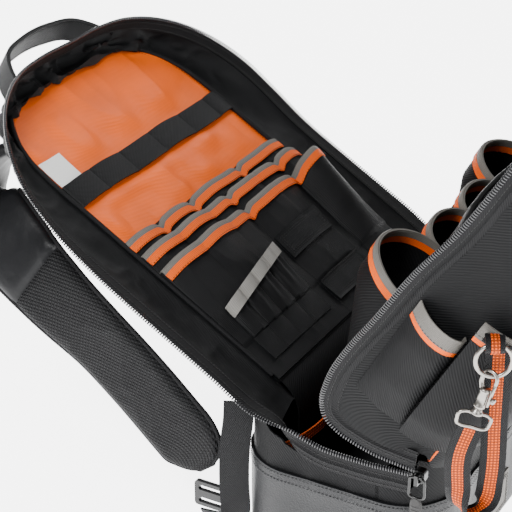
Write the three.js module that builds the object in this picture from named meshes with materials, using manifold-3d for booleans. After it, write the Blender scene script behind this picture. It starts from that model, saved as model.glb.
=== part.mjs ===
// Tool backpack, standing on its base with the main zip undone: the back half leans back, the front
// half leans forward. Millimetres, +Z up, X across, -Y to the front, origin under the centre of the base.
import * as THREE from "three";
import { mergeVertices } from "three/addons/utils/BufferGeometryUtils.js";
import Module from "manifold-3d";

const wasm = await Module();
wasm.setup();

// Base
const baseWidth = 368;
const baseDepth = 184;
const cornerRadius = 50;
const bootHeight = 88;
const bandHeight = 118;
const seamOverlap = 18;
const floorThickness = 5;

// Cloth, tape and gaps
const vinylThickness = 2;
const twillThickness = 1.6;
const liningThickness = 1.2;
const pocketThickness = 1.2;
const tapeWidth = 14;
const tapeThickness = 1.4;
const chainWidth = 4.4;
const chainThickness = 3.2;
const bindingWidth = 12;
const bindingThickness = 0.8;
const gap = 0.3;

// Back half
const backLean = 59.4;
const backPanelHalf = 130;
const backPanelTop = 375;
const backPanelRadius = 90;
const padThickness = 12;
const padFoot = 30;
const liningFoot = 22;
const rimHalf = baseWidth / 2 - 2;
const rimTop = 387;
const rimRadius = 140;
const rimFoot = 18;
const rimSideRise = 5;
const rimTopRise = 40;
const pipingRadius = 2;
const seamClearance = 1.2;
const zipClearance = 2;

// Front half
const frontLean = 30;
const frontHeight = 385;
const frontRadius = 140;
const frontEdgeRadius = 50;
const frontDepth = 112;
const hingeLap = 1;
const sidePocketMouth = 127;
const sidePocketFoot = 26;
const frontPocketMouth = 155;
const frontPocketFoot = 20;
const frontPocketDepth = 14;
const dividerTop = 165;
const dividerBow = 30;
const dividerSeat = 0.77;
const innerPocketMouth = 92;

// Straps and hardware
const handleSpan = 124;
const handleRise = 34;
const webbingWidth = 25;
const webbingThickness = 1.8;
const strapWidth = 70;
const strapThickness = 13;
const thongWidth = 19;
const ringRadius = 13;
const ringWire = 1.7;
const tabThickness = 1.4;

const mm = (...values) => new THREE.Vector3(...values);
const radians = THREE.MathUtils.degToRad;
const between = THREE.MathUtils.lerp;

function finish(colour, roughness, metalness = 0) {
  return new THREE.MeshStandardMaterial({ color: colour, roughness, metalness });
}
const twill = finish(0x1b1b1d, 0.85);
const vinyl = finish(0x2b2c2f, 0.6);
const orange = finish(0xe8571c, 0.75);
const greyTape = finish(0x8a8a88, 0.6);
const blackTape = finish(0x101012, 0.7);
const nickel = finish(0xb9b6b0, 0.3, 1);
const plastic = finish(0x0d0d0e, 0.5);
const white = finish(0xe9eaea, 0.7);
const mesh3d = finish(0x17171a, 0.9);

const backpack = new THREE.Group();
const backHalf = new THREE.Group();
const frontHalf = new THREE.Group();
backpack.add(backHalf, frontHalf);

function add(name, geometry, material, parent = backpack) {
  const piece = new THREE.Mesh(geometry, material);
  piece.name = name;
  parent.add(piece);
  return piece;
}

// The two halves lean on the hinge lines at the top of the base's band. In the back half x, y and z are
// across, up the panel and off its inner face; in the front half they are across, up and outwards.
const padBack = liningThickness + gap + padThickness;
const backSeat = mm(0, baseDepth / 2 - 2.4, bandHeight + 7.6);
backHalf.rotation.x = radians(90 - backLean);
backHalf.position.copy(backSeat).sub(mm(0, padFoot, -padBack).applyEuler(backHalf.rotation));
frontHalf.rotation.x = radians(90 + frontLean);
frontHalf.position.set(0, -baseDepth / 2, bandHeight);
backHalf.updateMatrixWorld();
frontHalf.updateMatrixWorld();
const onBack = (x, up, off) => mm(x, up, off).applyMatrix4(backHalf.matrixWorld);
const onFront = (x, up, inward) => mm(x, up, -inward).applyMatrix4(frontHalf.matrixWorld);

// A closed sheet from two grids of points: rows of its outer face and of its inner face.
function sheet(outer, inner, ring = false) {
  const rows = outer.length;
  const cols = outer[0].length;
  const points = [...outer.flat(), ...inner.flat()];
  const at = (side, i, j) => side * rows * cols + (i % rows) * cols + j;
  const index = [];
  const quad = (a, b, c, d) => index.push(a, b, c, a, c, d);
  const last = ring ? rows : rows - 1;
  for (let i = 0; i < last; i += 1) {
    for (let j = 0; j < cols - 1; j += 1) {
      quad(at(0, i, j), at(0, i + 1, j), at(0, i + 1, j + 1), at(0, i, j + 1));
      quad(at(1, i, j), at(1, i, j + 1), at(1, i + 1, j + 1), at(1, i + 1, j));
    }
    quad(at(0, i + 1, 0), at(0, i, 0), at(1, i, 0), at(1, i + 1, 0));
    quad(at(0, i, cols - 1), at(0, i + 1, cols - 1), at(1, i + 1, cols - 1), at(1, i, cols - 1));
  }
  for (let j = 0; j < cols - 1 && !ring; j += 1) {
    quad(at(0, 0, j), at(0, 0, j + 1), at(1, 0, j + 1), at(1, 0, j));
    quad(at(0, rows - 1, j + 1), at(0, rows - 1, j), at(1, rows - 1, j), at(1, rows - 1, j + 1));
  }
  return closed(points, index);
}

// A mesh whose faces point out of it.
function closed(points, index) {
  let volume = 0;
  for (let k = 0; k < index.length; k += 3) {
    const [a, b, c] = [points[index[k]], points[index[k + 1]], points[index[k + 2]]];
    volume += a.dot(mm().crossVectors(b, c));
  }
  if (volume < 0) {
    index.reverse();
  }
  const geometry = new THREE.BufferGeometry();
  geometry.setAttribute("position", new THREE.Float32BufferAttribute(points.flatMap((p) => p.toArray()), 3));
  geometry.setIndex(index);
  return geometry;
}

// The grid moved along its own normals.
function offset(grid, distance, ring = false) {
  const rows = grid.length;
  const clampRow = (i) => (ring ? (i + rows) % rows : THREE.MathUtils.clamp(i, 0, rows - 1));
  return grid.map((row, i) => row.map((point, j) => {
    const along = mm().subVectors(grid[clampRow(i + 1)][j], grid[clampRow(i - 1)][j]);
    const across = mm().subVectors(row[Math.min(j + 1, row.length - 1)], row[Math.max(j - 1, 0)]);
    return point.clone().addScaledVector(along.cross(across).normalize(), distance);
  }));
}

// Cloth on a grid of points, thick to both sides of it or to one.
function cloth(grid, front, back, ring = false) {
  return sheet(offset(grid, front, ring), offset(grid, back, ring), ring);
}

// A flat band that follows stations of an edge point and the direction across the band.
function band(stations, from, to, thickness) {
  const rows = stations.map(({ point, across }) => [
    point.clone().addScaledVector(across, from),
    point.clone().addScaledVector(across, to),
  ]);
  return cloth(rows, thickness / 2, -thickness / 2);
}

// Smooth stations through a route: points, with the direction across the band at each.
function route(points, crosswise, steps) {
  const path = new THREE.CatmullRomCurve3(points, false, "centripetal");
  const turns = new THREE.CatmullRomCurve3(crosswise, false, "centripetal");
  return Array.from({ length: steps + 1 }, (_, k) => {
    const tangent = path.getTangent(k / steps);
    const across = turns.getPoint(k / steps);
    across.addScaledVector(tangent, -across.dot(tangent)).normalize();
    return { point: path.getPoint(k / steps), across };
  });
}

// A round cord with closed ends.
function cord(points, radius, steps) {
  const path = new THREE.CatmullRomCurve3(points, false, "centripetal");
  const section = new THREE.Shape();
  section.absarc(0, 0, radius, 0, 2 * Math.PI);
  return new THREE.ExtrudeGeometry(section, { steps, extrudePath: path, bevelEnabled: false, curveSegments: 3 });
}

// An arch: up the near side, round the top and down the far side, with the direction out of it.
const archSide = 5;
const archCorner = 6;
const archTop = 2;
function arch(half, top, radius, foot) {
  const stations = [];
  for (let k = 0; k < archSide; k += 1) {
    stations.push({ x: -half, up: between(foot, top - radius, k / archSide), outX: -1, outUp: 0 });
  }
  for (let k = 0; k <= archCorner; k += 1) {
    const turn = (k / archCorner) * Math.PI / 2;
    const [outX, outUp] = [-Math.cos(turn), Math.sin(turn)];
    stations.push({ x: radius - half + radius * outX, up: top - radius + radius * outUp, outX, outUp });
  }
  const far = stations.map((s) => ({ ...s, x: -s.x, outX: -s.outX })).reverse();
  for (let k = 1; k < archTop; k += 1) {
    stations.push({ x: between(radius - half, half - radius, k / archTop), up: top, outX: 0, outUp: 1 });
  }
  return [...stations, ...far];
}

// A flat plate with an arched top, lying on z = 0 and rising to its thickness.
function archPlate(half, top, radius, foot, thickness, bevel = 0) {
  const shape = new THREE.Shape();
  const [h, t, f] = [half - bevel, top - bevel, foot + bevel];
  shape.moveTo(-h, f);
  shape.lineTo(h, f);
  shape.lineTo(h, top - radius);
  shape.absarc(half - radius, top - radius, radius - bevel, 0, Math.PI / 2);
  shape.lineTo(radius - half, t);
  shape.absarc(radius - half, top - radius, radius - bevel, Math.PI / 2, Math.PI);
  const options = { depth: thickness - 2 * bevel, curveSegments: 8, bevelEnabled: bevel > 0 };
  Object.assign(options, { bevelThickness: bevel, bevelSize: bevel, bevelSegments: 2 });
  return new THREE.ExtrudeGeometry(shape, options).translate(0, 0, bevel);
}

// Points round the base's rounded rectangle, inset from the outside, with extra points at the zip's ends.
function plan(inset, steps = 7) {
  const [halfX, halfY] = [baseWidth / 2 - inset, baseDepth / 2 - inset];
  const radius = cornerRadius - inset;
  const points = [];
  const corners = [[-1, -1], [1, -1], [1, 1], [-1, 1]];
  corners.forEach(([sx, sy], corner) => {
    for (let k = 0; k <= steps; k += 1) {
      const turn = Math.PI + (corner + k / steps) * Math.PI / 2;
      points.push([sx * (halfX - radius) + radius * Math.cos(turn), sy * (halfY - radius) + radius * Math.sin(turn)]);
    }
    if (corner === 2) {
      points.push([backPanelHalf + rearStep, halfY], [-backPanelHalf - rearStep, halfY]);
    } else if (corner > 0) {
      sideShares.forEach((share) => points.push([sx * halfX, sx * share * (halfY - radius)]));
    }
  });
  return points;
}
const sideShares = [-0.6, -0.2, 0.2, 0.6];
const rearStep = 1.9;
const gussetDrop = 5.5;

// Base: the vinyl boot with its floor, and the twill band above it

// Zip edge on the base's sides: places along the half depth and heights, as shares of the band's height
const zipEdge = [
  { along: -0.75, height: 1.0 },
  { along: -0.61, height: 0.995 },
  { along: -0.38, height: 0.983 },
  { along: -0.14, height: 0.983 },
  { along: 0.09, height: 0.992 },
  { along: 0.25, height: 1.025 },
  { along: 0.4, height: 1.068 },
  { along: 0.53, height: 1.105 },
];

// Lower edge of the front half's sides, from the slider back: shares of its depth and of the band's height
const frontFoot = [
  { inward: 0.205, drop: -0.004 },
  { inward: 0.33, drop: 0.05 },
  { inward: 0.47, drop: 0.106 },
  { inward: 0.65, drop: 0.15 },
  { inward: 0.79, drop: 0.165 },
  { inward: 0.9, drop: 0.14 },
  { inward: 0.975, drop: 0.05 },
];

// Rim of the front half above its lower corner: heights up the half, and depths, as shares
const frontRim = [
  { up: 0.01, inward: 1 },
  { up: 0.05, inward: 1.025 },
  { up: 0.12, inward: 1.028 },
  { up: 0.22, inward: 1.0 },
  { up: 0.36, inward: 0.97 },
  { up: 0.5, inward: 0.9 },
  { up: 0.64, inward: 0.88 },
];

function reading(table, key, value, place) {
  const next = table.findIndex((row) => row[key] >= place);
  if (next <= 0) {
    return table[next === 0 ? 0 : table.length - 1][value];
  }
  const [a, b] = [table[next - 1], table[next]];
  return between(a[value], b[value], (place - a[key]) / (b[key] - a[key]));
}

const sliderY = zipEdge[0].along * baseDepth / 2;
const sliderInward = frontFoot[0].inward * frontDepth;
const footDrop = (inward) => {
  const share = inward / frontDepth;
  if (share < frontFoot[0].inward) {
    return frontFoot[0].drop * bandHeight * share / frontFoot[0].inward;
  }
  return bandHeight * reading(frontFoot, "inward", "drop", share);
};

// Height of the twill band's top edge: it meets the front half, the zip tape, the gusset and the pad
function bandTop(x, y) {
  const half = baseDepth / 2;
  const turn = half - cornerRadius;
  if (y < sliderY) {
    const inward = (y + half) / Math.cos(radians(frontLean));
    return onFront(0, -footDrop(Math.max(inward, 0)), inward).z - 1.2;
  }
  if (y <= turn + 2) {
    return bandHeight * reading(zipEdge, "along", "height", y / half) - tapeWidth - gap;
  }
  if (Math.abs(x) < backPanelHalf + rearStep + 0.1) {
    return backSeat.z - 0.9;
  }
  const rise = rimSideRise * (Math.abs(x) - backPanelHalf) / (rimHalf - backPanelHalf);
  const up = mm(0, y, 0).sub(backHalf.position).y / Math.sin(radians(backLean)) + rise * 0.6;
  const under = onBack(0, up, rise).z - twillThickness - gussetDrop;
  const share = THREE.MathUtils.smoothstep(y, turn, turn + 32);
  return Math.min(between(bandHeight * 1.068 - tapeWidth, under, share), under);
}

function basePieces() {
  const boot = (inset, low, high) => plan(inset).map(([x, y]) => [mm(x, y, high), mm(x, y, low)]);
  const outer = boot(0, 0, bootHeight);
  const inner = boot(vinylThickness, floorThickness, bootHeight);
  const count = outer.length;
  const points = [...outer.flat(), ...inner.flat(), mm(0, 0, 0), mm(0, 0, floorThickness)];
  const index = [];
  for (let k = 0; k < count; k += 1) {
    const [a, b] = [2 * k, 2 * ((k + 1) % count)];
    const [c, d] = [a + 2 * count, b + 2 * count];
    index.push(a, a + 1, b + 1, a, b + 1, b, c, d, d + 1, c, d + 1, c + 1);
    index.push(a, b, d, a, d, c, b + 1, a + 1, 4 * count, c + 1, d + 1, 4 * count + 1);
  }
  add("base_boot", closed(points, index), vinyl);

  const inset = vinylThickness + gap;
  const low = bootHeight - seamOverlap;
  const walls = [inset, inset + twillThickness].map((depth) => plan(depth).map(([x, y]) => {
    const high = bandTop(x, y);
    return [0, 0.5, 1].map((share) => mm(x, y, between(low, high, share)));
  }));
  add("base_band", sheet(walls[0], walls[1], true), twill);
}
basePieces();

// Back half: lining, padded back, gusset, piping and its row of teeth

function backStations() {
  const seam = seamClearance;
  const inner = arch(backPanelHalf + seam, backPanelTop + seam, backPanelRadius + seam, padFoot);
  const rim = arch(rimHalf, rimTop, rimRadius, rimFoot);
  return inner.map((a, k) => {
    const b = rim[k];
    const share = THREE.MathUtils.smoothstep(b.up, rimTop * 0.45, rimTop);
    const start = mm(a.x, a.up, -0.2);
    const end = mm(b.x, b.up, between(rimSideRise, rimTopRise, share));
    const across = mm().subVectors(start, end).normalize();
    return { start, end, across, bulge: mm(0, 0, -1).addScaledVector(mm(a.outX, a.outUp, 0), share) };
  });
}

function backPieces() {
  const lining = archPlate(backPanelHalf, backPanelTop, backPanelRadius, liningFoot, liningThickness);
  add("back_lining", lining.translate(0, 0, -liningThickness), orange, backHalf);
  const pad = archPlate(backPanelHalf, backPanelTop, backPanelRadius, padFoot, padThickness, 4);
  add("back_pad", pad.translate(0, 0, -padBack), twill, backHalf);

  const stations = backStations();
  const gusset = stations.map(({ start, end, across, bulge }) => {
    const edge = end.clone().addScaledVector(across, tapeWidth + gap);
    return [0, 0.35, 0.7, 1].map((share) => {
      const sag = 3 * Math.sin(share * Math.PI);
      return start.clone().lerp(edge, share).addScaledVector(bulge, sag);
    });
  });
  add("back_gusset", cloth(gusset, 0, -twillThickness), twill, backHalf);

  const inset = pipingRadius + gap;
  const seam = arch(backPanelHalf - inset, backPanelTop - inset, backPanelRadius - inset, padFoot);
  const ridge = seam.map(({ x, up }) => mm(x, up, pipingRadius + gap));
  add("back_piping", cord(ridge, pipingRadius, 22), twill, backHalf);
}
backPieces();

// The zip's two rows: stations of the tape's toothed edge, and the direction from it into the cloth
function backZip() {
  const half = baseDepth / 2;
  const tub = zipEdge.map(({ along, height }) => {
    const turn = THREE.MathUtils.smoothstep(along, 0.3, 0.62) * 0.9;
    const across = mm(Math.sin(turn * Math.PI / 2), 0, -Math.cos(turn * Math.PI / 2));
    return { point: mm(-baseWidth / 2 + tapeThickness, along * half, height * bandHeight), across };
  });
  const rim = backStations().map(({ end, across }) => ({
    point: end.clone().applyMatrix4(backHalf.matrixWorld),
    across: across.clone().transformDirection(backHalf.matrixWorld),
  }));
  const mirrored = tub.map(({ point, across }) => ({
    point: mm(-point.x, point.y, point.z),
    across: mm(-across.x, across.y, across.z),
  }));
  return [...tub, ...rim, ...mirrored.reverse()];
}

function frontZip() {
  const side = -baseWidth / 2 + tapeThickness;
  const near = [];
  const low = frontFoot.map(({ inward, drop }) => [inward * frontDepth, -drop * bandHeight]);
  const high = frontRim.map(({ up, inward }) => [inward * frontDepth, up * frontHeight]);
  const line = [...low, ...high];
  line.forEach(([inward, up], k) => {
    const [a, b] = [line[Math.max(k - 1, 0)], line[Math.min(k + 1, line.length - 1)]];
    const run = Math.hypot(b[0] - a[0], b[1] - a[1]);
    const across = mm(0, (b[0] - a[0]) / run, (b[1] - a[1]) / run);
    near.push({ point: mm(side, up, -inward), across });
  });
  const tip = frontRim[frontRim.length - 1];
  const top = arch(-side, frontHeight, frontRadius, 0).filter(({ up }) => up > tip.up * frontHeight + 4);
  const over = top.map(({ x, up }) => ({ point: mm(x, up, -tip.inward * frontDepth), across: mm(0, 0, 1) }));
  const far = near.map(({ point, across }) => ({ point: mm(-point.x, point.y, point.z), across })).reverse();
  return [...near, ...over, ...far];
}

function zipPieces() {
  [["back", backZip(), backpack], ["front", frontZip(), frontHalf]].forEach(([half, stations, parent]) => {
    add(`${half}_zip_tape`, band(stations, 0, tapeWidth, tapeThickness), blackTape, parent);
    add(`${half}_zip_chain`, band(stations, -seamClearance - chainWidth, -seamClearance, chainThickness), plastic, parent);
  });
}
zipPieces();

// Back half: webbing ladder, label and three tiers of tool pockets, each lying on the one behind it

const tierSide = 125;
const ladderFoot = 245;
const tagWidth = 30;
const tagHeight = 29;
const tagThickness = 0.8;
const tagEdge = 7;
const tierTop = { foot: 93, mouth: 196, seams: [-125, -80, -29, 55, 125], fullness: [7, 7, 10, 9] };
const tierMiddle = { foot: 63, mouth: 178, seams: [-125, 5, 92, 125], fullness: [9, 8, 4] };
const tierLow = { foot: 24, mouth: 157, seams: [-125, 5, 92, 125], fullness: [8, 7, 26] };
const tiers = [tierTop, tierMiddle, tierLow];
const tierColumns = [-125, -114, -102, -91, -80, -67, -54, -41, -29, -12, 5, 22, 38, 55, 74, 92, 100, 109, 118, 125];
const tierRows = [24, 38, 63, 93, 106, 118, 145, 157, 166, 178, 184, 196];

// Height of a tier's inner face off the lining at a place
function tierLevel(tier, x, up) {
  if (tier < 0 || up < tiers[tier].foot) {
    return tier > 0 ? tierLevel(tier - 1, x, up) : 0;
  }
  const behind = tier > 0 ? tierLevel(tier - 1, x, up) + pocketThickness : 0;
  const { foot, mouth, seams, fullness } = tiers[tier];
  const lobe = Math.max(seams.findIndex((seam) => seam > x), 1) - 1;
  const across = THREE.MathUtils.clamp((x - seams[lobe]) / (seams[lobe + 1] - seams[lobe]), 0, 1);
  const open = THREE.MathUtils.clamp((up - foot) / (mouth - foot), 0, 1);
  return behind + gap + fullness[lobe] * Math.sin(across * Math.PI) * open;
}

// A sheet over part of the panel between two levels
function overPanel(columns, rows, low, thickness) {
  const face = (lift) => rows.map((up) => columns.map((x) => mm(x, up, low(x, up) + lift)));
  return sheet(face(thickness), face(0));
}

function within(list, from, to) {
  return list.filter((value) => value >= from && value <= to);
}

function pocketPieces() {
  tiers.forEach((tier, k) => {
    const name = ["top", "middle", "low"][k];
    const level = (x, up) => tierLevel(k, x, up);
    const rows = within(tierRows, tier.foot, tier.mouth);
    add(`tier_${name}`, overPanel(tierColumns, rows, level, pocketThickness), twill, backHalf);
    const edge = [tier.mouth - bindingWidth, tier.mouth];
    const onTier = (x, up) => level(x, up) + pocketThickness + gap;
    add(`tier_${name}_binding`, overPanel(tierColumns, edge, onTier, bindingThickness), greyTape, backHalf);
  });

  const onLow = (x, up) => tierLevel(2, x, up) + pocketThickness + gap;
  const slotColumns = within(tierColumns, -114, -12);
  const slotRows = within(tierRows, 38, 118);
  const slotMouth = slotRows[slotRows.length - 1];
  const pleat = (x) => (slotColumns.indexOf(x) % 2 === 1 ? 5 : 0);
  const slots = (x, up) => onLow(x, up) + pleat(x) * (up - slotRows[0]) / (slotMouth - slotRows[0]);
  add("driver_slots", overPanel(slotColumns, slotRows, slots, pocketThickness), twill, backHalf);
  const bandRows = [slotMouth - bindingWidth, slotMouth];
  const onSlots = (x, up) => slots(x, up) + pocketThickness + gap;
  add("slot_band", overPanel(slotColumns, bandRows, onSlots, bindingThickness), greyTape, backHalf);
  const patches = [{ from: 5, to: 74, rows: [93, 106, 118] }, { from: 5, to: 74, rows: [38, 63] }];
  patches.forEach(({ from, to, rows }, k) => {
    const patch = overPanel(within(tierColumns, from, to), rows, onLow, pocketThickness);
    add(`tool_patch_${k + 1}`, patch, twill, backHalf);
  });

  const tacks = [-124, -85, -40, 9, 59, 104, 124];
  const ladderColumns = tacks.flatMap((x, k) => (k < tacks.length - 1 ? [x, (x + tacks[k + 1]) / 2] : [x]));
  const loop = (x) => gap + (tacks.includes(x) ? 0 : 2);
  const ladder = overPanel(ladderColumns, [ladderFoot, ladderFoot + webbingWidth], loop, webbingThickness);
  add("webbing_ladder", ladder, blackTape, backHalf);
  const tag = new THREE.BoxGeometry(tagWidth, tagHeight, tagThickness);
  const tagAcross = tagEdge + tagWidth / 2 - backPanelHalf;
  tag.translate(tagAcross, ladderFoot + webbingWidth + 2 + tagHeight / 2, gap + tagThickness / 2);
  add("care_tag", tag, white, backHalf);
}
pocketPieces();

// Lining's lower end: it bends over the hinge and hangs to the boot's floor
function hingeApron() {
  const start = onBack(0, liningFoot - gap, -liningThickness / 2);
  const points = [start.clone()];
  const bend = 34;
  const turns = 6;
  for (let k = 0; k < turns; k += 1) {
    const heading = radians(between(90 - backLean, 96, (k + 0.5) / turns));
    const step = bend * radians(66) / turns;
    points.push(points[k].clone().add(mm(0, -Math.cos(heading) * step, -Math.sin(heading) * step)));
  }
  const foot = points[turns];
  points.push(mm(0, foot.y + 4, floorThickness + 1.2));
  const rows = points.map((point) => [-1, 1].map((side) => mm(side * tierSide, point.y, point.z)));
  add("hinge_apron", cloth(rows, liningThickness / 2, -liningThickness / 2), twill);
}
hingeApron();

// Front half: the shell's flat front and its gusset
function frontPieces() {
  const flatHalf = baseWidth / 2 - frontEdgeRadius;
  const flatTop = frontHeight - frontEdgeRadius;
  const panel = archPlate(flatHalf, flatTop, frontRadius - frontEdgeRadius, -hingeLap, twillThickness);
  add("front_panel", panel.translate(0, 0, -twillThickness), twill, frontHalf);

  const turns = [0, 20, 45, 57, 73, 90].map(radians);
  const columns = turns.map((turn) => ({
    inset: frontEdgeRadius * (1 - Math.sin(turn)),
    inward: frontEdgeRadius * (1 - Math.cos(turn)),
  }));
  const outline = arch(baseWidth / 2, frontHeight, frontRadius, 0);
  const rows = outline.map(({ x, up, outX, outUp }) => {
    const rim = frontDepth * reading(frontRim, "up", "inward", up / frontHeight) - tapeWidth - zipClearance;
    const deep = [...columns, ...[0.5, 1].map((share) => ({ inset: 0, inward: between(frontEdgeRadius, rim, share) }))];
    return deep.map(({ inset, inward }) => {
      const back = inset - (inset > frontEdgeRadius - 1 ? seamClearance : 0);
      return mm(x - outX * back, up - outUp * back, -inward);
    });
  });
  const foot = (x, row) => row.map((point) => {
    const inward = Math.min(-point.z, frontDepth * 0.77);
    const lift = inward > sliderInward - 1 ? tapeWidth + zipClearance : gap;
    return mm(point.x, lift - footDrop(inward), -inward);
  });
  const near = foot(-1, rows[0]);
  const far = foot(1, rows[rows.length - 1]);
  const low = (row) => row.map((point) => mm(point.x, 12, point.z));
  const grid = [near, low(rows[0]), ...rows.slice(1, -1), low(rows[rows.length - 1]), far];
  add("front_gusset", cloth(grid, 0, -twillThickness), twill, frontHalf);
}
frontPieces();

// Front half: divider, inner pockets and the pockets outside

// Depth of the divider, which bows to the back between its ends at the gusset
const shellInside = baseWidth / 2 - twillThickness - gap;
function dividerDepth(x) {
  return frontDepth * dividerSeat + dividerBow * (1 - (x / shellInside) ** 4);
}

// Lobes of the inner pockets: ends across and how far each stands off the divider
const innerLobes = [
  { from: -150, to: -66, stand: 42 },
  { from: -66, to: 0, stand: 22 },
  { from: 0, to: 66, stand: 22 },
  { from: 66, to: 150, stand: 42 },
];

function innerPieces() {
  const foot = 10;
  const seamEnd = innerLobes[innerLobes.length - 1].to;
  const columns = innerLobes.flatMap(({ from, to }) => [from, (from + to) / 2]);
  const edge = [shellInside, (shellInside + seamEnd) / 2];
  const places = [-edge[0], -edge[1], ...columns, seamEnd, edge[1], edge[0]];
  const divider = (lift) => places.map((x) => [foot, dividerTop].map((up) => {
    return mm(x, up, -dividerDepth(x) - lift);
  }));
  add("inner_divider", sheet(divider(liningThickness), divider(0)), twill, frontHalf);

  const steps = 6;
  const wall = (lift, ups) => innerLobes.flatMap(({ from, to, stand }, lobe) => {
    const rows = [];
    for (let k = lobe > 0 ? 1 : 0; k <= steps; k += 1) {
      const share = k / steps;
      const x = between(from, to, share);
      const round = Math.sqrt(Math.sin(share * Math.PI));
      const full = (up) => between(0.45, 1, THREE.MathUtils.clamp((up - foot) / 50, 0, 1));
      const level = dividerDepth(x) + liningThickness + gap + lift;
      rows.push(ups.map((up) => mm(x, up, -level - stand * round * full(up))));
    }
    return rows;
  });
  const ups = [foot, 30, 60, innerPocketMouth];
  add("inner_pockets", sheet(wall(twillThickness, ups), wall(0, ups)), twill, frontHalf);
  const lip = [innerPocketMouth - bindingWidth, innerPocketMouth];
  const out = twillThickness + 1.2;
  add("inner_binding", sheet(wall(out + bindingThickness, lip), wall(out, lip)), greyTape, frontHalf);
}
innerPieces();

// Side pocket's section from the zip to its front pleat: depth shares and how far it stands off the side
const sideSection = [
  { inward: 0.86, stand: 0 },
  { inward: 0.8, stand: 6 },
  { inward: 0.7, stand: 12 },
  { inward: 0.6, stand: 13.5 },
  { inward: 0.52, stand: 11 },
  { inward: 0.47, stand: 4 },
  { inward: 0.49, stand: 0.5 },
];

// Front pocket's section round the shell: it starts on the near side and runs round both corners
function frontPocketSection(stand) {
  const radius = frontEdgeRadius + stand;
  const flat = baseWidth / 2 - frontEdgeRadius;
  const near = [0, 22.5, 45, 67.5, 90].map(radians).map((turn) => ({
    x: -flat - radius * Math.cos(turn),
    inward: frontEdgeRadius - radius * Math.sin(turn),
  }));
  const middle = [-0.5, 0, 0.5].map((share) => ({ x: share * flat, inward: -stand }));
  return [...near, ...middle, ...near.map(({ x, inward }) => ({ x: -x, inward })).reverse()];
}

function outerPocketPieces() {
  const off = twillThickness * 0.5 + 0.4;
  const heights = [0, 0.3, 0.7, 1];
  const slack = [0.15, 0.75, 1, 1];
  [[-1, "near"], [1, "far"]].forEach(([side, name]) => {
    const rows = (low, high, lift, full) => sideSection.map(({ inward, stand }) => full.map((share, k) => {
      const x = baseWidth / 2 + off + lift + stand * share;
      return mm(side * x, between(low, high, heights[k]), -inward * frontDepth);
    }));
    const wall = cloth(rows(sidePocketFoot, sidePocketMouth, 0, slack), 0.5 * pocketThickness, -0.5 * pocketThickness);
    add(`side_pocket_${name}`, wall, twill, frontHalf);
  });

  const reach = [0.5, 0.8, 1];
  const wall = (ups, lift) => {
    const sections = ups.map(({ stand }) => frontPocketSection(stand + lift));
    return sections[0].map((_, k) => sections.map((section, i) => {
      const { x, inward } = section[k];
      return mm(x, ups[i].up, -inward);
    }));
  };
  const body = [
    { up: frontPocketFoot, stand: off },
    { up: between(frontPocketFoot, frontPocketMouth, 0.2), stand: frontPocketDepth * reach[1] },
    { up: between(frontPocketFoot, frontPocketMouth, 0.6), stand: frontPocketDepth },
    { up: frontPocketMouth - bindingWidth, stand: frontPocketDepth },
    { up: frontPocketMouth, stand: frontPocketDepth },
  ];
  add("front_pocket", sheet(wall(body, pocketThickness), wall(body, 0)), twill, frontHalf);
  const lip = body.slice(-2);
  const out = pocketThickness + gap;
  add("front_binding", sheet(wall(lip, out + bindingThickness), wall(lip, out)), greyTape, frontHalf);
}
outerPocketPieces();

// A geometry as a solid for joins and cuts, and back again
function solid(geometry) {
  const bare = geometry.clone();
  bare.deleteAttribute("normal");
  bare.deleteAttribute("uv");
  const merged = mergeVertices(bare, 1e-4);
  const vertProperties = new Float32Array(merged.attributes.position.array);
  const triVerts = new Uint32Array(merged.index.array);
  return new wasm.Manifold(new wasm.Mesh({ numProp: 3, vertProperties, triVerts }));
}

function meshed(manifold) {
  const whole = manifold.getMesh();
  const geometry = new THREE.BufferGeometry();
  geometry.setAttribute("position", new THREE.Float32BufferAttribute(whole.vertProperties, 3));
  geometry.setIndex(new THREE.Uint32BufferAttribute(whole.triVerts, 1));
  return geometry;
}
const joined = (...geometries) => meshed(geometries.map(solid).reduce((a, b) => a.add(b)));

// A flat bar with rounded corners, its thickness centred on z = 0
function bar(width, height, radius, thickness) {
  const shape = new THREE.Shape();
  const [x, y] = [width / 2 - radius, height / 2 - radius];
  shape.moveTo(x + radius, -y);
  shape.absarc(x, y, radius, 0, Math.PI / 2);
  shape.absarc(-x, y, radius, Math.PI / 2, Math.PI);
  shape.absarc(-x, -y, radius, Math.PI, 1.5 * Math.PI);
  shape.absarc(x, -y, radius, 1.5 * Math.PI, 2 * Math.PI);
  const options = { depth: thickness, bevelEnabled: false, curveSegments: 2 };
  return new THREE.ExtrudeGeometry(shape, options).translate(0, 0, -thickness / 2);
}

// The same bar with windows cut through it
function frame(width, height, radius, thickness, windows) {
  return meshed(windows.reduce((body, { w, h, r, y }) => {
    return body.subtract(solid(bar(w, h, r, 2 * thickness).translate(0, y, 0)));
  }, solid(bar(width, height, radius, thickness))));
}

// Turned to stand in a plane across X, its width along Y
const upright = (geometry) => geometry.rotateX(Math.PI / 2).rotateZ(Math.PI / 2);

// Carry handle: webbing folded double, sewn to the top gusset
function topHandle() {
  const [half, top, off] = [handleSpan / 2, rimTop + handleRise, 15];
  const rise = [
    { across: 1.2, up: -0.13 },
    { across: 1.1, up: 0.24 },
    { across: 0.85, up: 0.76 },
    { across: 0.35, up: 1 },
  ];
  const near = rise.map(({ across, up }) => mm(-across * half, between(rimTop, top, up), off));
  const far = near.map(({ x, y, z }) => mm(-x, y, z)).reverse();
  const across = Array.from({ length: 4 }, () => mm(0, 0, 1));
  const loop = band(route([...near, ...far], across, 18), -webbingWidth / 2, webbingWidth / 2, 2 * webbingThickness);
  add("top_handle", loop, blackTape, backHalf);
}
topHandle();

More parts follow.
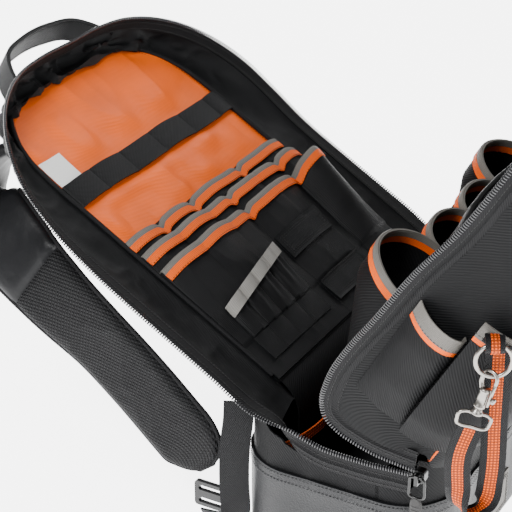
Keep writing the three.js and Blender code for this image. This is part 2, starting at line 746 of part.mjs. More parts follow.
// Shoulder straps: each hangs from the upper back, turns edge on and comes down beside the back half
// Their points are distances in from the base's side, behind it and up
const strapRoute = [
  [122, 237.8, 259.4], [121, 256, 266.3], [113, 274.5, 263.2], [94, 287, 254], [75, 292, 237],
  [56, 278, 226], [39, 250, 217], [30, 216, 196], [23, 178, 174], [19, 137, 150], [16, 96, 121],
  [14, 63, 94], [12, 41, 76], [12, 29, 61],
];
const strapCrosswise = [
  [-1, 0, 0], [-1, 0, 0], [-1, 0, 0], [-0.6, 0.2, -0.6], [-0.25, 0.4, -0.8], [0, 0.6, -0.8], [0, 0.6, -0.8],
  [0, 0.6, -0.8],
];
const webbingRoute = [
  [16.5, 0.1, 131], [14.4, -0.4, 116], [11.4, 1, 92], [9.5, 1, 56], [9.5, 0, 26], [10, 3, 9],
  [10.5, 9, 2.2], [11, 16, 2.2], [11, 21, 9], [11, 22.5, 19],
];
const webbingCrosswise = [[0.49, -0.87, 0], [0.49, -0.87, 0], [0.5, -0.8, 0], [0.9, -0.3, 0], [0.6, 0.8, 0], [0, 1, 0]];

function strapPieces() {
  const turned = (table, side) => table.map(([x, y, z]) => mm(-side * x, y, z));
  const points = (table, side) => table.map(([inside, behind, up]) => {
    return mm(side * (baseWidth / 2 - inside), baseDepth / 2 + behind, up);
  });
  [[-1, "near"], [1, "far"]].forEach(([side, name]) => {
    const stations = route(points(strapRoute, side), turned(strapCrosswise, side), 20);
    const rows = stations.map(({ point, across }, k) => {
      const tip = THREE.MathUtils.smoothstep(stations.length - 1 - k, 0, 2);
      const half = strapWidth / 2 * between(0.5, 1, tip);
      return [-1, -0.6, 0.6, 1].map((share) => point.clone().addScaledVector(across, share * half));
    });
    const full = [0.45, 1, 1, 0.45];
    const half = strapThickness / 2;
    const faces = [1, -1].map((sign) => offset(rows, sign * half).map((row, i) => row.map((point, j) => {
      return rows[i][j].clone().lerp(point, full[j]);
    })));
    add(`strap_pad_${name}`, sheet(faces[0], faces[1]), mesh3d);

    const web = route(points(webbingRoute, side), turned(webbingCrosswise, side), 16);
    const half25 = webbingWidth / 2;
    add(`strap_webbing_${name}`, band(web, -half25, half25, webbingThickness), blackTape);

    const slots = [-6, 6].map((y) => ({ w: webbingWidth + 2, h: 5, r: 1.5, y }));
    const lock = frame(webbingWidth + 10, 24, 3, 4, slots);
    add(`ladder_lock_${name}`, upright(lock).translate(side * (baseWidth / 2 - 11), baseDepth / 2 + 22, 34), plastic);
  });
}
strapPieces();

// Zip sliders with their pulls, which hang and swing out from the side
const sliderHeight = 11;
const pullPivot = 3.6;
const sliderLead = 5.4;
function sliderPieces() {
  const face = baseWidth / 2 + 2.6;
  const middle = mm(face, onFront(0, 0, sliderInward).y - sliderLead, bandHeight + 6);
  [[-1, "near"], [1, "far"]].forEach(([side, name]) => {
    const body = upright(bar(9, sliderHeight, 3, 7)).translate(middle.x - 3.5, middle.y, middle.z);
    const bridge = new THREE.BoxGeometry(1.4, 3, sliderHeight - 2).translate(middle.x + pullPivot + 2, middle.y, middle.z);
    const legs = [1, -1].map((end) => {
      const leg = new THREE.BoxGeometry(pullPivot + 3, 3, 1.6);
      return leg.translate(middle.x + pullPivot / 2 + 1.2, middle.y, middle.z + end * (sliderHeight / 2 - 1.8));
    });
    const place = (geometry) => (side < 0 ? mirrored(geometry) : geometry);
    add(`zip_slider_${name}`, place(joined(body, bridge, ...legs)), nickel);
    const loop = upright(frame(13, 18, 3, 1.6, [{ w: 9.6, h: 14.6, r: 2, y: 0 }]));
    loop.translate(middle.x + pullPivot, middle.y, middle.z - 7.6);
    add(`pull_loop_${name}`, place(loop), nickel);
    const tab = upright(bar(11, 44, 3, 3.2));
    add(`pull_tab_${name}`, place(tab.translate(middle.x + pullPivot, middle.y, middle.z - 38.9)), plastic);
  });
}

function mirrored(geometry) {
  const flipped = geometry.clone().scale(-1, 1, 1);
  const order = flipped.index ? Array.from(flipped.index.array) : [...Array(flipped.attributes.position.count).keys()];
  flipped.setIndex(order.reverse());
  return flipped;
}
sliderPieces();

// Boot patches: short pieces of grey webbing sewn flat on the front of the boot
function bootPatches() {
  [[-1, "near"], [1, "far"]].forEach(([side, name]) => {
    const patch = new THREE.BoxGeometry(40, webbingThickness, 36);
    const lift = baseDepth / 2 + gap + webbingThickness / 2;
    add(`boot_patch_${name}`, patch.translate(side * 52, -lift, 31), greyTape);
  });
}
bootPatches();

// Thong at the front's near corner: a ring on a sewn tab, a bolt snap on the ring, and the webbing that
// hangs from the tab, turns under and comes back up to the snap's eye
const ringCentre = mm(-baseWidth / 2 - frontPocketDepth - 12, -baseDepth / 2 - 48, bandHeight + 139);
const facing = mm(-0.872, -0.489, 0);
const sidewards = mm(0.489, -0.872, 0);
const snapLean = mm(6.7, -11.9, 46.9).normalize();
const barrelRadius = 4;
const barrelLength = 16;
const hookWire = 1.3;
const hookReach = 5.8;
const eyeWidth = 26;
const eyeHeight = 13;

function thongPieces() {
  const ring = new THREE.TorusGeometry(ringRadius, ringWire, 6, 14);
  const turned = new THREE.Matrix4().makeBasis(sidewards, mm(0, 0, 1), mm().crossVectors(sidewards, mm(0, 0, 1)));
  ring.applyMatrix4(turned).translate(...ringCentre.toArray());
  add("thong_ring", ring, nickel);

  // The snap's own frame: up its barrel, with its hook turned half across the ring
  const lateral = facing.clone().addScaledVector(sidewards, 1.1);
  lateral.addScaledVector(snapLean, -lateral.dot(snapLean)).normalize();
  const third = mm().crossVectors(lateral, snapLean);
  const hookTop = ringCentre.clone().add(mm(0, 0, -ringRadius + ringWire + hookWire + 3 * gap));
  const crown = hookReach + 9;
  const origin = hookTop.addScaledVector(snapLean, -crown);
  const placed = (geometry) => {
    const matrix = new THREE.Matrix4().makeBasis(lateral, snapLean, third).setPosition(origin);
    return geometry.applyMatrix4(matrix);
  };
  const barrel = new THREE.CylinderGeometry(barrelRadius, barrelRadius, barrelLength, 10);
  barrel.translate(0, -barrelLength / 2, 0);
  const bow = [[-2.4, -2], [-hookReach, 4], [-hookReach, 9]];
  for (let k = 1; k <= 4; k += 1) {
    const turn = k * Math.PI / 4;
    bow.push([-hookReach * Math.cos(turn), 9 + hookReach * Math.sin(turn)]);
  }
  bow.push([hookReach, 6.6]);
  const hook = cord(bow.map(([x, y]) => mm(x, y, 0)), hookWire, 12);
  add("snap_hook", placed(joined(barrel, hook)), nickel);
  const bolt = new THREE.CylinderGeometry(1.2, 1.2, 18, 8).translate(hookReach, -2.8, 0);
  const knob = new THREE.SphereGeometry(2, 8, 6).translate(hookReach + 2.4, -5, 0);
  add("snap_bolt", placed(joined(bolt, knob)), nickel);

  const collar = new THREE.CylinderGeometry(3.4, 5.2, 4.6, 10).translate(0, -barrelLength - gap - 2.3, 0);
  const eye = frame(eyeWidth, eyeHeight, 4, 2.4, [{ w: eyeWidth - 4, h: eyeHeight - 4.6, r: 2.4, y: 0 }]);
  const level = -barrelLength - gap - 4.2 - eyeHeight / 2;
  eye.rotateY(-Math.atan2(third.dot(sidewards), lateral.dot(sidewards))).translate(0, level, 0);
  add("snap_eye", placed(joined(collar, eye)), nickel);

  // The webbing ends under the eye's lower bar
  const barHeight = level - eyeHeight / 2 + 1.2;
  const eyeBar = origin.clone().addScaledVector(snapLean, barHeight);
  const under = (distance) => eyeBar.clone().addScaledVector(snapLean, -distance);
  const drop = [[9, 0, 7], [8.5, -0.5, -50], [8.5, -0.5, -107]];
  const turn = [[7.5, 1, -122], [4, 6, -132], [-2, 12.5, -133.5], [-6, 17.5, -126], [-7, 18.5, -110]];
  const points = [...drop, ...turn].map((point) => ringCentre.clone().add(mm(...point)));
  points.push(under(26), under(1.5));
  const crosswise = [sidewards, sidewards, sidewards, mm(0.1, -1, 0), facing, facing, mm(-0.4, -0.9, 0)];
  crosswise.push(mm(0.2, -0.98, 0), sidewards, sidewards);
  const half = thongWidth / 2;
  add("thong_webbing", band(route(points, crosswise, 32), -half, half, 1.6), orange);
}
thongPieces();

// The ring's tab: sewn on the front pocket's binding, it passes over the ring's top and turns under it
function ringTab() {
  const off = frontPocketDepth + pocketThickness + bindingThickness + 2 * gap + tabThickness / 2;
  const turned = radians(11.25);
  const reach = (frontEdgeRadius + off) * Math.cos(turned) + gap;
  const flat = baseWidth / 2 - frontEdgeRadius;
  const sewn = (up) => onFront(-flat - reach * Math.cos(turned), up, frontEdgeRadius - reach * Math.sin(turned));
  const points = [sewn(frontPocketMouth - bindingWidth + 2), sewn(frontPocketMouth - 2)];
  [[4, 5.4], [-1.8, 3.2], [-4.4, -2.4], [0.5, -7]].forEach(([back, above]) => {
    points.push(ringCentre.clone().addScaledVector(facing, -back).add(mm(0, 0, ringRadius + above)));
  });
  const along = mm(Math.sin(turned), 0, Math.cos(turned)).transformDirection(frontHalf.matrixWorld);
  const tab = band(route(points, [along, along, sidewards, sidewards, sidewards, sidewards], 10), -7, 7, tabThickness);
  add("ring_tab", tab, orange);
}
ringTab();

export default backpack;
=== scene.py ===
"""Tool backpack: the soft goods, tape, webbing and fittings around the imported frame, in its own frame.

Tables and sizes inside the functions are in millimetres; a piece turns into metres when its mesh is made.
"""
import math

import bpy
import numpy as np
from bpy.props import FloatProperty, FloatVectorProperty, PointerProperty
from mathutils import Matrix, Vector


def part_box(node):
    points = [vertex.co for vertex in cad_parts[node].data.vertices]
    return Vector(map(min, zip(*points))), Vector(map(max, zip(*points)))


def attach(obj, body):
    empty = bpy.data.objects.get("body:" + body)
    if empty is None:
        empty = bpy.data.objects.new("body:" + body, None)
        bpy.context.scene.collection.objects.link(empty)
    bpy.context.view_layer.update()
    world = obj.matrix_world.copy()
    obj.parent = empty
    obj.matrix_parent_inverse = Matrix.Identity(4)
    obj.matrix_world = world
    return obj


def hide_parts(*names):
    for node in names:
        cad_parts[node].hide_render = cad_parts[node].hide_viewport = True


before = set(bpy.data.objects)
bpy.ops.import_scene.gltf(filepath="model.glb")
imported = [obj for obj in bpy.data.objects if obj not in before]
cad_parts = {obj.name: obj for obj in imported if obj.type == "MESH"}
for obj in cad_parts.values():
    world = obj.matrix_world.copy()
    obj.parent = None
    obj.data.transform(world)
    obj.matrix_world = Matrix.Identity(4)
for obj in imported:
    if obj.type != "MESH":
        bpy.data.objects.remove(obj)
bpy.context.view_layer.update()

bl_info = {
    "name": "Tool backpack",
    "version": (1, 0, 0),
    "blender": (4, 5, 0),
    "location": "3D View > Sidebar > Backpack",
    "description": "Builds the cloth, tape, webbing and fittings of an open tool backpack",
    "category": "Add Mesh",
}

MM = 0.001
finishes = {}


def corners(node):
    """Lowest and highest corner of a node of the frame, in millimetres."""
    return [np.array(corner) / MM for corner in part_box(node)]


boot_low, boot_high = corners("base_boot")
BASE_WIDTH = boot_high[0] - boot_low[0]
BASE_DEPTH = boot_high[1] - boot_low[1]
BOOT_HEIGHT = boot_high[2]
BAND_HEIGHT = 118.0
CORNER = 50.0
FLOOR = 5.0
SEAM_OVERLAP = 18.0
BACK_LEAN = math.radians(59.4)
FRONT_LEAN = math.radians(30.0)
PANEL_HALF, PANEL_TOP, PANEL_RADIUS = 130.0, 375.0, 90.0
PAD_FOOT = 30.0
# The rim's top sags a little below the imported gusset's
RIM_HALF, RIM_TOP, RIM_RADIUS, RIM_FOOT = BASE_WIDTH / 2 - 2, 373.0, 135.0, 18.0
RIM_SIDE_RISE, RIM_TOP_RISE = 5.0, 28.0
FRONT_HEIGHT, FRONT_RADIUS, FRONT_EDGE, FRONT_DEPTH = 385.0, 140.0, 50.0, 112.0
TAPE, CLOTH, LINING, NYLON, GAP = 14.0, 1.6, 1.2, 1.2, 0.3

# The two halves' own directions: across, up the half, and off its inner face or inwards
BACK_UP = np.array([0.0, math.sin(BACK_LEAN), math.cos(BACK_LEAN)])
BACK_OFF = np.array([0.0, -math.cos(BACK_LEAN), math.sin(BACK_LEAN)])
FRONT_UP = np.array([0.0, -math.sin(FRONT_LEAN), math.cos(FRONT_LEAN)])
FRONT_IN = np.array([0.0, math.cos(FRONT_LEAN), math.sin(FRONT_LEAN)])
ACROSS = np.array([1.0, 0.0, 0.0])
UPWARDS = np.array([0.0, 0.0, 1.0])
PAD_BACK = 13.5
BACK_SEAT = np.array([0.0, BASE_DEPTH / 2 - 2.4, BAND_HEIGHT + 7.6])
BACK_HOME = BACK_SEAT - PAD_FOOT * BACK_UP + PAD_BACK * BACK_OFF
FRONT_HOME = np.array([0.0, -BASE_DEPTH / 2, BAND_HEIGHT])


def placed(home, x, up, off, up_way, off_way):
    x, up, off = np.broadcast_arrays(*(np.asarray(v, float) for v in (x, up, off)))
    return home + x[..., None] * ACROSS + up[..., None] * up_way + off[..., None] * off_way


def on_back(x, up, off):
    return placed(BACK_HOME, x, up, off, BACK_UP, BACK_OFF)


def on_front(x, up, inward):
    return placed(FRONT_HOME, x, up, inward, FRONT_UP, FRONT_IN)


def unit(vectors):
    return vectors / np.maximum(np.linalg.norm(vectors, axis=-1, keepdims=True), 1e-9)


def ease(low, high, value):
    share = np.clip((np.asarray(value, float) - low) / (high - low), 0, 1)
    return share * share * (3 - 2 * share)


def spline(points, count, ring=False, even=True):
    """A smooth line of points through rows of points, or through grids along their first axis.

    The line's points are evenly spaced, or else spaced as the rows are.
    """
    flat = np.asarray(points, float)
    shape = flat.shape
    flat = flat.reshape(shape[0], -1, shape[-1])
    if ring:
        flat = np.concatenate([flat[-2:], flat, flat[:3]])
    gaps = np.maximum(np.linalg.norm(np.diff(flat, axis=0), axis=2).mean(axis=1), 1e-6)
    place = np.concatenate([[0], np.cumsum(gaps)])
    slope = np.diff(flat, axis=0) / gaps[:, None, None]
    weights = (gaps[:-1] / (gaps[:-1] + gaps[1:]))[:, None, None]
    inner = slope[:-1] * (1 - weights) + slope[1:] * weights
    tangents = np.concatenate([slope[:1], inner, slope[-1:]])
    low, high = (place[2], place[-3]) if ring else (place[0], place[-1])
    at = np.linspace(low, high, count, endpoint=not ring)
    if not even:
        at = np.interp(np.linspace(0, len(place) - 1, count), np.arange(len(place)), place)
    k = np.clip(np.searchsorted(place, at, side="right") - 1, 0, len(gaps) - 1)
    h = gaps[k][:, None, None]
    t = (at - place[k])[:, None, None] / h
    a, b = flat[k], flat[k + 1]
    line = (2 * t**3 - 3 * t**2 + 1) * a + (t**3 - 2 * t**2 + t) * h * tangents[k]
    line += (3 * t**2 - 2 * t**3) * b + (t**3 - t**2) * h * tangents[k + 1]
    return line.reshape(len(at), *shape[1:])


def refine(grid, rows, cols, ring=False):
    """A coarse grid of points made fine and smooth both ways."""
    fine = spline(grid, rows, ring)
    return np.swapaxes(spline(np.swapaxes(fine, 0, 1), cols), 0, 1)


def reading(table, place):
    """A value from a table of places and values."""
    places, values = zip(*table)
    return np.interp(place, places, values)


def normals(grid, ring=False):
    if ring:
        along = np.roll(grid, -1, axis=0) - np.roll(grid, 1, axis=0)
    else:
        along = np.gradient(grid, axis=0)
    return unit(np.cross(along, np.gradient(grid, axis=1)))


def lattice(points, size, seed):
    """Smooth noise from -1 to 1 at points, with bumps of about the given size."""
    values = np.random.default_rng(seed).uniform(-1, 1, (16, 16, 16))
    at = np.asarray(points, float) / size
    cell = np.floor(at).astype(int)
    part = at - cell
    part = part * part * (3 - 2 * part)
    total = 0.0
    for corner in range(8):
        step = np.array([corner & 1, corner >> 1 & 1, corner >> 2 & 1])
        weight = np.prod(np.where(step, part, 1 - part), axis=-1)
        index = (cell + step) % 16
        total = total + weight * values[index[..., 0], index[..., 1], index[..., 2]]
    return total


def folds(points, size, seed, way=(1, 1, 1)):
    """Cloth-like creases from 0 to 1: ridges of noise, longer along the ways with small shares."""
    scaled = np.asarray(points) * np.array(way)
    first = 1 - np.abs(lattice(scaled, size, seed))
    second = 1 - np.abs(lattice(scaled, size * 0.47, seed + 1))
    return first**3 * 0.7 + second**3 * 0.3


def wrinkled(grid, amount, size, seed, way=(1, 1, 1), ring=False):
    """The grid with creases along its normals. The amount may change over the grid."""
    height = (folds(grid, size, seed, way) - 0.25) * amount
    return grid + normals(grid, ring) * height[..., None]


def link_object(name, mesh):
    piece = bpy.data.objects.new(name.replace(" ", "_"), mesh)
    bpy.context.scene.collection.objects.link(piece)
    return piece


def make_mesh(name, points, faces, uv=None, smooth_angle=40):
    """An object from points in millimetres, with its UV map in metres."""
    mesh = bpy.data.meshes.new(name)
    mesh.from_pydata((np.asarray(points) * MM).tolist(), [], [list(map(int, face)) for face in faces])
    if uv is not None:
        layer = mesh.uv_layers.new(name="cloth")
        index = np.zeros(len(mesh.loops), int)
        mesh.loops.foreach_get("vertex_index", index)
        layer.data.foreach_set("uv", (np.asarray(uv) * MM)[index].ravel())
    mesh.polygons.foreach_set("use_smooth", np.ones(len(mesh.polygons), bool))
    mesh.set_sharp_from_angle(angle=math.radians(smooth_angle))
    mesh.update()
    return link_object(name, mesh)


def arc_lengths(grid, axis):
    steps = np.linalg.norm(np.diff(grid, axis=axis), axis=2)
    start = np.zeros_like(np.take(steps, [0], axis=axis))
    return np.cumsum(np.concatenate([start, steps], axis=axis), axis=axis)


def volume_sign(points, faces):
    tris = np.array([(f[0], f[k], f[k + 1]) for f in faces for k in range(1, len(f) - 1)])
    a, b, c = points[tris[:, 0]], points[tris[:, 1]], points[tris[:, 2]]
    centre = points.mean(0)
    return np.sign(np.einsum("ij,ij->", a - centre, np.cross(b - centre, c - centre)))


def shell_faces(rows, cols, ring, cap):
    """Faces of a closed sheet: two grids joined round their edges, or with a cap at a ring's last column."""
    last = rows if ring else rows - 1
    i, j = np.meshgrid(np.arange(last), np.arange(cols - 1), indexing="ij")
    nxt = (i + 1) % rows
    a, b, c, d = i * cols + j, nxt * cols + j, nxt * cols + j + 1, i * cols + j + 1
    outer = np.stack([a, b, c, d], axis=-1).reshape(-1, 4)
    inner = outer[:, ::-1] + rows * cols
    total = rows * cols
    rims = []
    k = np.arange(last)
    n = (k + 1) % rows
    rims.append(np.stack([n * cols, k * cols, k * cols + total, n * cols + total], axis=1))
    e = cols - 1
    if not cap:
        rims.append(np.stack([k * cols + e, n * cols + e, n * cols + e + total, k * cols + e + total],
                             axis=1))
    if not ring:
        j = np.arange(cols - 1)
        f = (rows - 1) * cols
        rims.append(np.stack([j, j + 1, j + 1 + total, j + total], axis=1))
        rims.append(np.stack([f + j + 1, f + j, f + j + total, f + j + 1 + total], axis=1))
    faces = np.concatenate([outer, inner, *rims]).tolist()
    if cap:
        faces += [(k * cols + e).tolist(), (k * cols + e + total)[::-1].tolist()]
    return faces


def shell(name, outer, inner, finish, ring=False, cap=False, uv=None):
    """A closed sheet of cloth between two grids of points, its pattern measured over it or given."""
    rows, cols = outer.shape[:2]
    points = np.concatenate([outer.reshape(-1, 3), inner.reshape(-1, 3)])
    faces = shell_faces(rows, cols, ring, cap)
    if volume_sign(points, faces) < 0:
        faces = [face[::-1] for face in faces]
    if uv is None:
        along = arc_lengths(outer, 0).mean(axis=1, keepdims=True)
        uv = np.stack(np.broadcast_arrays(arc_lengths(outer, 1), along), axis=-1)
    flat = np.reshape(uv, (-1, 2))
    piece = make_mesh(name, points, faces, np.concatenate([flat, flat]))
    piece.data.materials.append(finishes[finish])
    return piece


def cloth(grid, front, back, finish, ring=False):
    """Cloth on a grid of points, thick to both sides of it or to one."""
    out = normals(grid, ring)
    return shell(finish.replace("_", " "), grid + out * front, grid + out * back, finish, ring)


def tube(name, path, radius, finish, sides=10, ring=False):
    """A round cord along a path, closed at its ends, or a ring."""
    path = np.asarray(path, float)
    tangent = np.roll(path, -1, axis=0) - np.roll(path, 1, axis=0) if ring else np.gradient(path, axis=0)
    tangent = unit(tangent)
    side = np.zeros_like(path)
    seed = np.array([0.31, 0.12, 0.94])
    for k, way in enumerate(tangent):
        seed = seed - way * (seed @ way)
        seed = seed / np.linalg.norm(seed)
        side[k] = seed
    other = np.cross(tangent, side)
    turn = np.linspace(0, 2 * math.pi, sides, endpoint=False)
    radius = np.broadcast_to(np.asarray(radius, float), len(path))[:, None, None]
    around = np.cos(turn)[:, None] * side[:, None] + np.sin(turn)[:, None] * other[:, None]
    wall = path[:, None] + radius * around
    points = wall.reshape(-1, 3)
    count = len(path)
    last = count if ring else count - 1
    faces = []
    for i in range(last):
        here, there = i * sides, (i + 1) % count * sides
        for j in range(sides):
            k = (j + 1) % sides
            faces.append((here + j, here + k, there + k, there + j))
    if not ring:
        points = np.concatenate([points, path[:1], path[-1:]])
        top = (count - 1) * sides
        faces += [(count * sides, (j + 1) % sides, j, j) for j in range(sides)]
        faces += [(count * sides + 1, top + j, top + (j + 1) % sides, top + j) for j in range(sides)]
        faces = [tuple(dict.fromkeys(face)) for face in faces]
    if volume_sign(points, faces) < 0:
        faces = [face[::-1] for face in faces]
    length = np.concatenate([[0], np.cumsum(np.linalg.norm(np.diff(path, axis=0), axis=1))])
    uv = np.stack(np.broadcast_arrays(turn[None] * 3, length[:, None]), axis=-1).reshape(-1, 2)
    uv = np.concatenate([uv, np.zeros((len(points) - len(uv), 2))])
    piece = make_mesh(name, points, faces, uv, 60)
    piece.data.materials.append(finishes[finish])
    return piece


def dress(piece, slot, *nodes, body="root"):
    """Sets what a finished piece rides on and the nodes that it stands for. The slot is not used."""
    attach(piece, body)
    if nodes:
        piece.name = f"visual_{nodes[0]}"
        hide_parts(*nodes)
    return piece


# Finishes: cloth patterns follow each piece's own flat measure, in metres


class Pattern:
    """A material in the making: its node tree with short ways to add to it."""

    def __init__(self, name):
        self.name = name
        self.material = bpy.data.materials.new(name)
        self.material.use_nodes = True
        self.tree = self.material.node_tree
        self.shader = self.tree.nodes["Principled BSDF"]
        coordinate = self.tree.nodes.new("ShaderNodeTexCoord")
        self.flat = coordinate.outputs["UV"]
        self.solid = coordinate.outputs["Object"]

    def node(self, kind, values=(), **settings):
        made = self.tree.nodes.new(kind)
        for key, value in settings.items():
            setattr(made, key, value)
        for place, value in values:
            if isinstance(value, bpy.types.NodeSocket):
                self.tree.links.new(value, made.inputs[place])
            else:
                made.inputs[place].default_value = value
        return made

    def math(self, operation, first, second=0.0):
        return self.node("ShaderNodeMath", [(0, first), (1, second)], operation=operation).outputs[0]

    def ribs(self, turn, pitch):
        """Ribs from 0 to 1 at an angle over the flat cloth."""
        way = [math.cos(turn) * 2 * math.pi / pitch, math.sin(turn) * 2 * math.pi / pitch, 0]
        along = self.node("ShaderNodeVectorMath", [(0, self.flat), (1, way)], operation="DOT_PRODUCT")
        wave = self.math("SINE", along.outputs["Value"])
        return self.math("ADD", self.math("MULTIPLY", wave, 0.5), 0.5)

    def noise(self, size, detail=3.0, flat=False):
        source = self.flat if flat else self.solid
        made = self.node("ShaderNodeTexNoise",
                         [("Vector", source), ("Scale", 1 / size), ("Detail", detail)])
        return made.outputs[0]

    def finish(self, colour, roughness, height=None, depth=0.0002, shade=0.35, metal=0.0, specular=0.16):
        """Sets the shader: colour darker in the low places of the height, and the height as bumps. The
        darkening is painted shade in the hollows of ribs, weaves and mesh, and random tone where the height
        is only noise.
        """
        inputs = self.shader.inputs
        inputs["Roughness"].default_value = roughness
        inputs["Metallic"].default_value = metal
        inputs["Specular IOR Level"].default_value = specular
        inputs["Base Color"].default_value = (*colour, 1)
        if height is not None:
            # Low places painted darker by the share shade: painted shade in the pattern's hollows
            low = [channel * (1 - shade) for channel in colour]
            mix = self.node("ShaderNodeMix", [(0, height), (6, (*low, 1)), (7, (*colour, 1))],
                            data_type="RGBA")
            self.tree.links.new(mix.outputs[2], inputs["Base Color"])
            bump = self.node("ShaderNodeBump", [("Height", height), ("Distance", depth), ("Strength", 1.0)])
            self.tree.links.new(bump.outputs[0], inputs["Normal"])
        finishes[self.name] = self.material


def make_finishes(look):
    """All materials, in the panel's colours."""
    black, orange, grey = tuple(look.black), tuple(look.orange), tuple(look.grey)

    twill = Pattern("twill")
    ribs = twill.ribs(0.85, look.twill_pitch)
    twill.finish(black, 0.7, twill.math("MULTIPLY", ribs, twill.noise(0.02)), 0.0005, 0.6)

    vinyl = Pattern("vinyl")
    grain = vinyl.math("MULTIPLY", vinyl.noise(0.0016, 2.0), vinyl.noise(0.03))
    vinyl.finish(tuple(look.vinyl), 0.5, grain, 0.0012, 0.4, specular=0.3)

    lining = Pattern("lining")
    weave_and_painted_shade = lining.math("MULTIPLY", lining.ribs(0.9, 0.0016), 0.3)
    # The large noise is painted light and shade: the lining is painted up to 55 % darker where it is low,
    # standing for its lit and shaded folds.
    weave_and_painted_shade = lining.math("ADD", weave_and_painted_shade, lining.math("MULTIPLY", lining.noise(0.045), 0.7))
    lining.finish(tuple(look.lining), 0.42, weave_and_painted_shade, 0.0004, 0.55)

    nylon = Pattern("nylon")
    weave_and_painted_shade = nylon.math("ADD", nylon.ribs(0.0, 0.0012), nylon.ribs(math.pi / 2, 0.0012))
    weave_and_painted_shade = nylon.math("MULTIPLY", weave_and_painted_shade, nylon.math("MULTIPLY", nylon.noise(0.03), 0.6))
    nylon.finish(tuple(channel * 0.9 for channel in black), 0.55, weave_and_painted_shade, 0.0004, 0.4)

    for name, colour in (("grey_tape", grey), ("orange_tape", orange), ("elastic", tuple(look.elastic))):
        tape = Pattern(name)
        weave_and_painted_shade = tape.math("MULTIPLY", tape.ribs(0.0, 0.0013), tape.ribs(math.pi / 2, 0.0009))
        tape.finish(colour, 0.5, weave_and_painted_shade, 0.0003, 0.35)

    webbing = Pattern("webbing")
    weave_and_painted_shade = webbing.math("MULTIPLY", webbing.ribs(0.6, 0.0014), webbing.ribs(-0.6, 0.0014))
    webbing.finish(tuple(channel * 1.2 for channel in black), 0.55, weave_and_painted_shade, 0.0004, 0.4)

    stripe = Pattern("orange_webbing")
    weave_and_painted_shade = stripe.math("MULTIPLY", stripe.ribs(0.0, 0.0026), stripe.ribs(math.pi / 2, 0.0024))
    # Its weave's low places are painted 85 % darker: painted shade, and this dark orange also paints the
    # shadow on the strap inside the tub.
    stripe.finish(orange, 0.55, weave_and_painted_shade, 0.0006, 0.85)

    zip_tape = Pattern("zip_tape")
    weave_and_painted_shade = zip_tape.math("MULTIPLY", zip_tape.ribs(0.8, 0.0018), zip_tape.noise(0.01))
    zip_tape.finish(tuple(look.tape), 0.65, weave_and_painted_shade, 0.0004, 0.5)

    mesh = Pattern("spacer_mesh")
    dots = mesh.math("MULTIPLY", mesh.ribs(0.5, 0.003), mesh.ribs(2.0, 0.003))
    mesh.finish(tuple(channel * 1.6 for channel in black), 0.7, dots, 0.001, 0.85)

    satin = Pattern("satin")
    satin.finish(tuple(channel * 1.1 for channel in black), 0.42, satin.noise(0.012, 4.0), 0.0006, 0.3)

    rubber = Pattern("rubber")
    rubber.finish((0.014, 0.013, 0.013), 0.5, rubber.noise(0.004), 0.0002, 0.3, specular=0.3)
    plastic = Pattern("plastic")
    plastic.finish((0.01, 0.01, 0.011), 0.38, plastic.noise(0.003), 0.00008, 0.2, specular=0.35)
    teeth = Pattern("teeth")
    teeth.finish((0.02, 0.02, 0.022), 0.25, teeth.noise(0.002), 0.00004, 0.2, specular=0.5)
    nickel = Pattern("nickel")
    nickel.finish((0.3, 0.285, 0.26), 0.3, nickel.noise(0.003), 0.00008, 0.25, metal=1.0)
    gunmetal = Pattern("gunmetal")
    gunmetal.finish((0.045, 0.045, 0.045), 0.3, gunmetal.noise(0.003), 0.00008, 0.25, metal=1.0)
    tag = Pattern("tag")
    tag.finish((0.78, 0.78, 0.76), 0.6, tag.ribs(math.pi / 2, 0.001), 0.0001, 0.1)
    for name, colour in (("black_thread", (0.01, 0.01, 0.011)), ("grey_thread", (0.03, 0.03, 0.03))):
        thread = Pattern(name)
        thread.finish(colour, 0.6, thread.noise(0.0006), 0.0001, 0.3)


# Repeats along lines: stitches and teeth


def repeat_tree():
    """A node tree that stands copies of an object along the edges of a mesh, at a pitch."""
    tree = bpy.data.node_groups.new("repeat along lines", "GeometryNodeTree")
    face = tree.interface
    face.new_socket("Lines", in_out="INPUT", socket_type="NodeSocketGeometry")
    face.new_socket("Item", in_out="INPUT", socket_type="NodeSocketObject")
    face.new_socket("Pitch", in_out="INPUT", socket_type="NodeSocketFloat")
    face.new_socket("Finish", in_out="INPUT", socket_type="NodeSocketMaterial")
    face.new_socket("Copies", in_out="OUTPUT", socket_type="NodeSocketGeometry")
    add = tree.nodes.new
    given, done = add("NodeGroupInput"), add("NodeGroupOutput")
    curve, even = add("GeometryNodeMeshToCurve"), add("GeometryNodeResampleCurve")
    even.mode = "LENGTH"
    stand, info = add("GeometryNodeInstanceOnPoints"), add("GeometryNodeObjectInfo")
    lift, tangent = add("GeometryNodeInputNamedAttribute"), add("GeometryNodeInputTangent")
    lift.data_type = "FLOAT_VECTOR"
    lift.inputs["Name"].default_value = "lift"
    turn = add("FunctionNodeAxesToRotation")
    turn.primary_axis, turn.secondary_axis = "Z", "X"
    real, coat = add("GeometryNodeRealizeInstances"), add("GeometryNodeSetMaterial")
    link = tree.links.new
    link(given.outputs["Lines"], curve.inputs["Mesh"])
    link(curve.outputs["Curve"], even.inputs["Curve"])
    link(given.outputs["Pitch"], even.inputs["Length"])
    link(even.outputs["Curve"], stand.inputs["Points"])
    link(given.outputs["Item"], info.inputs["Object"])
    link(info.outputs["Geometry"], stand.inputs["Instance"])
    link(lift.outputs["Attribute"], turn.inputs[0])
    link(tangent.outputs["Tangent"], turn.inputs[1])
    link(turn.outputs["Rotation"], stand.inputs["Rotation"])
    link(stand.outputs["Instances"], real.inputs["Geometry"])
    link(real.outputs["Geometry"], coat.inputs["Geometry"])
    link(given.outputs["Finish"], coat.inputs["Material"])
    link(coat.outputs["Geometry"], done.inputs["Copies"])
    return tree


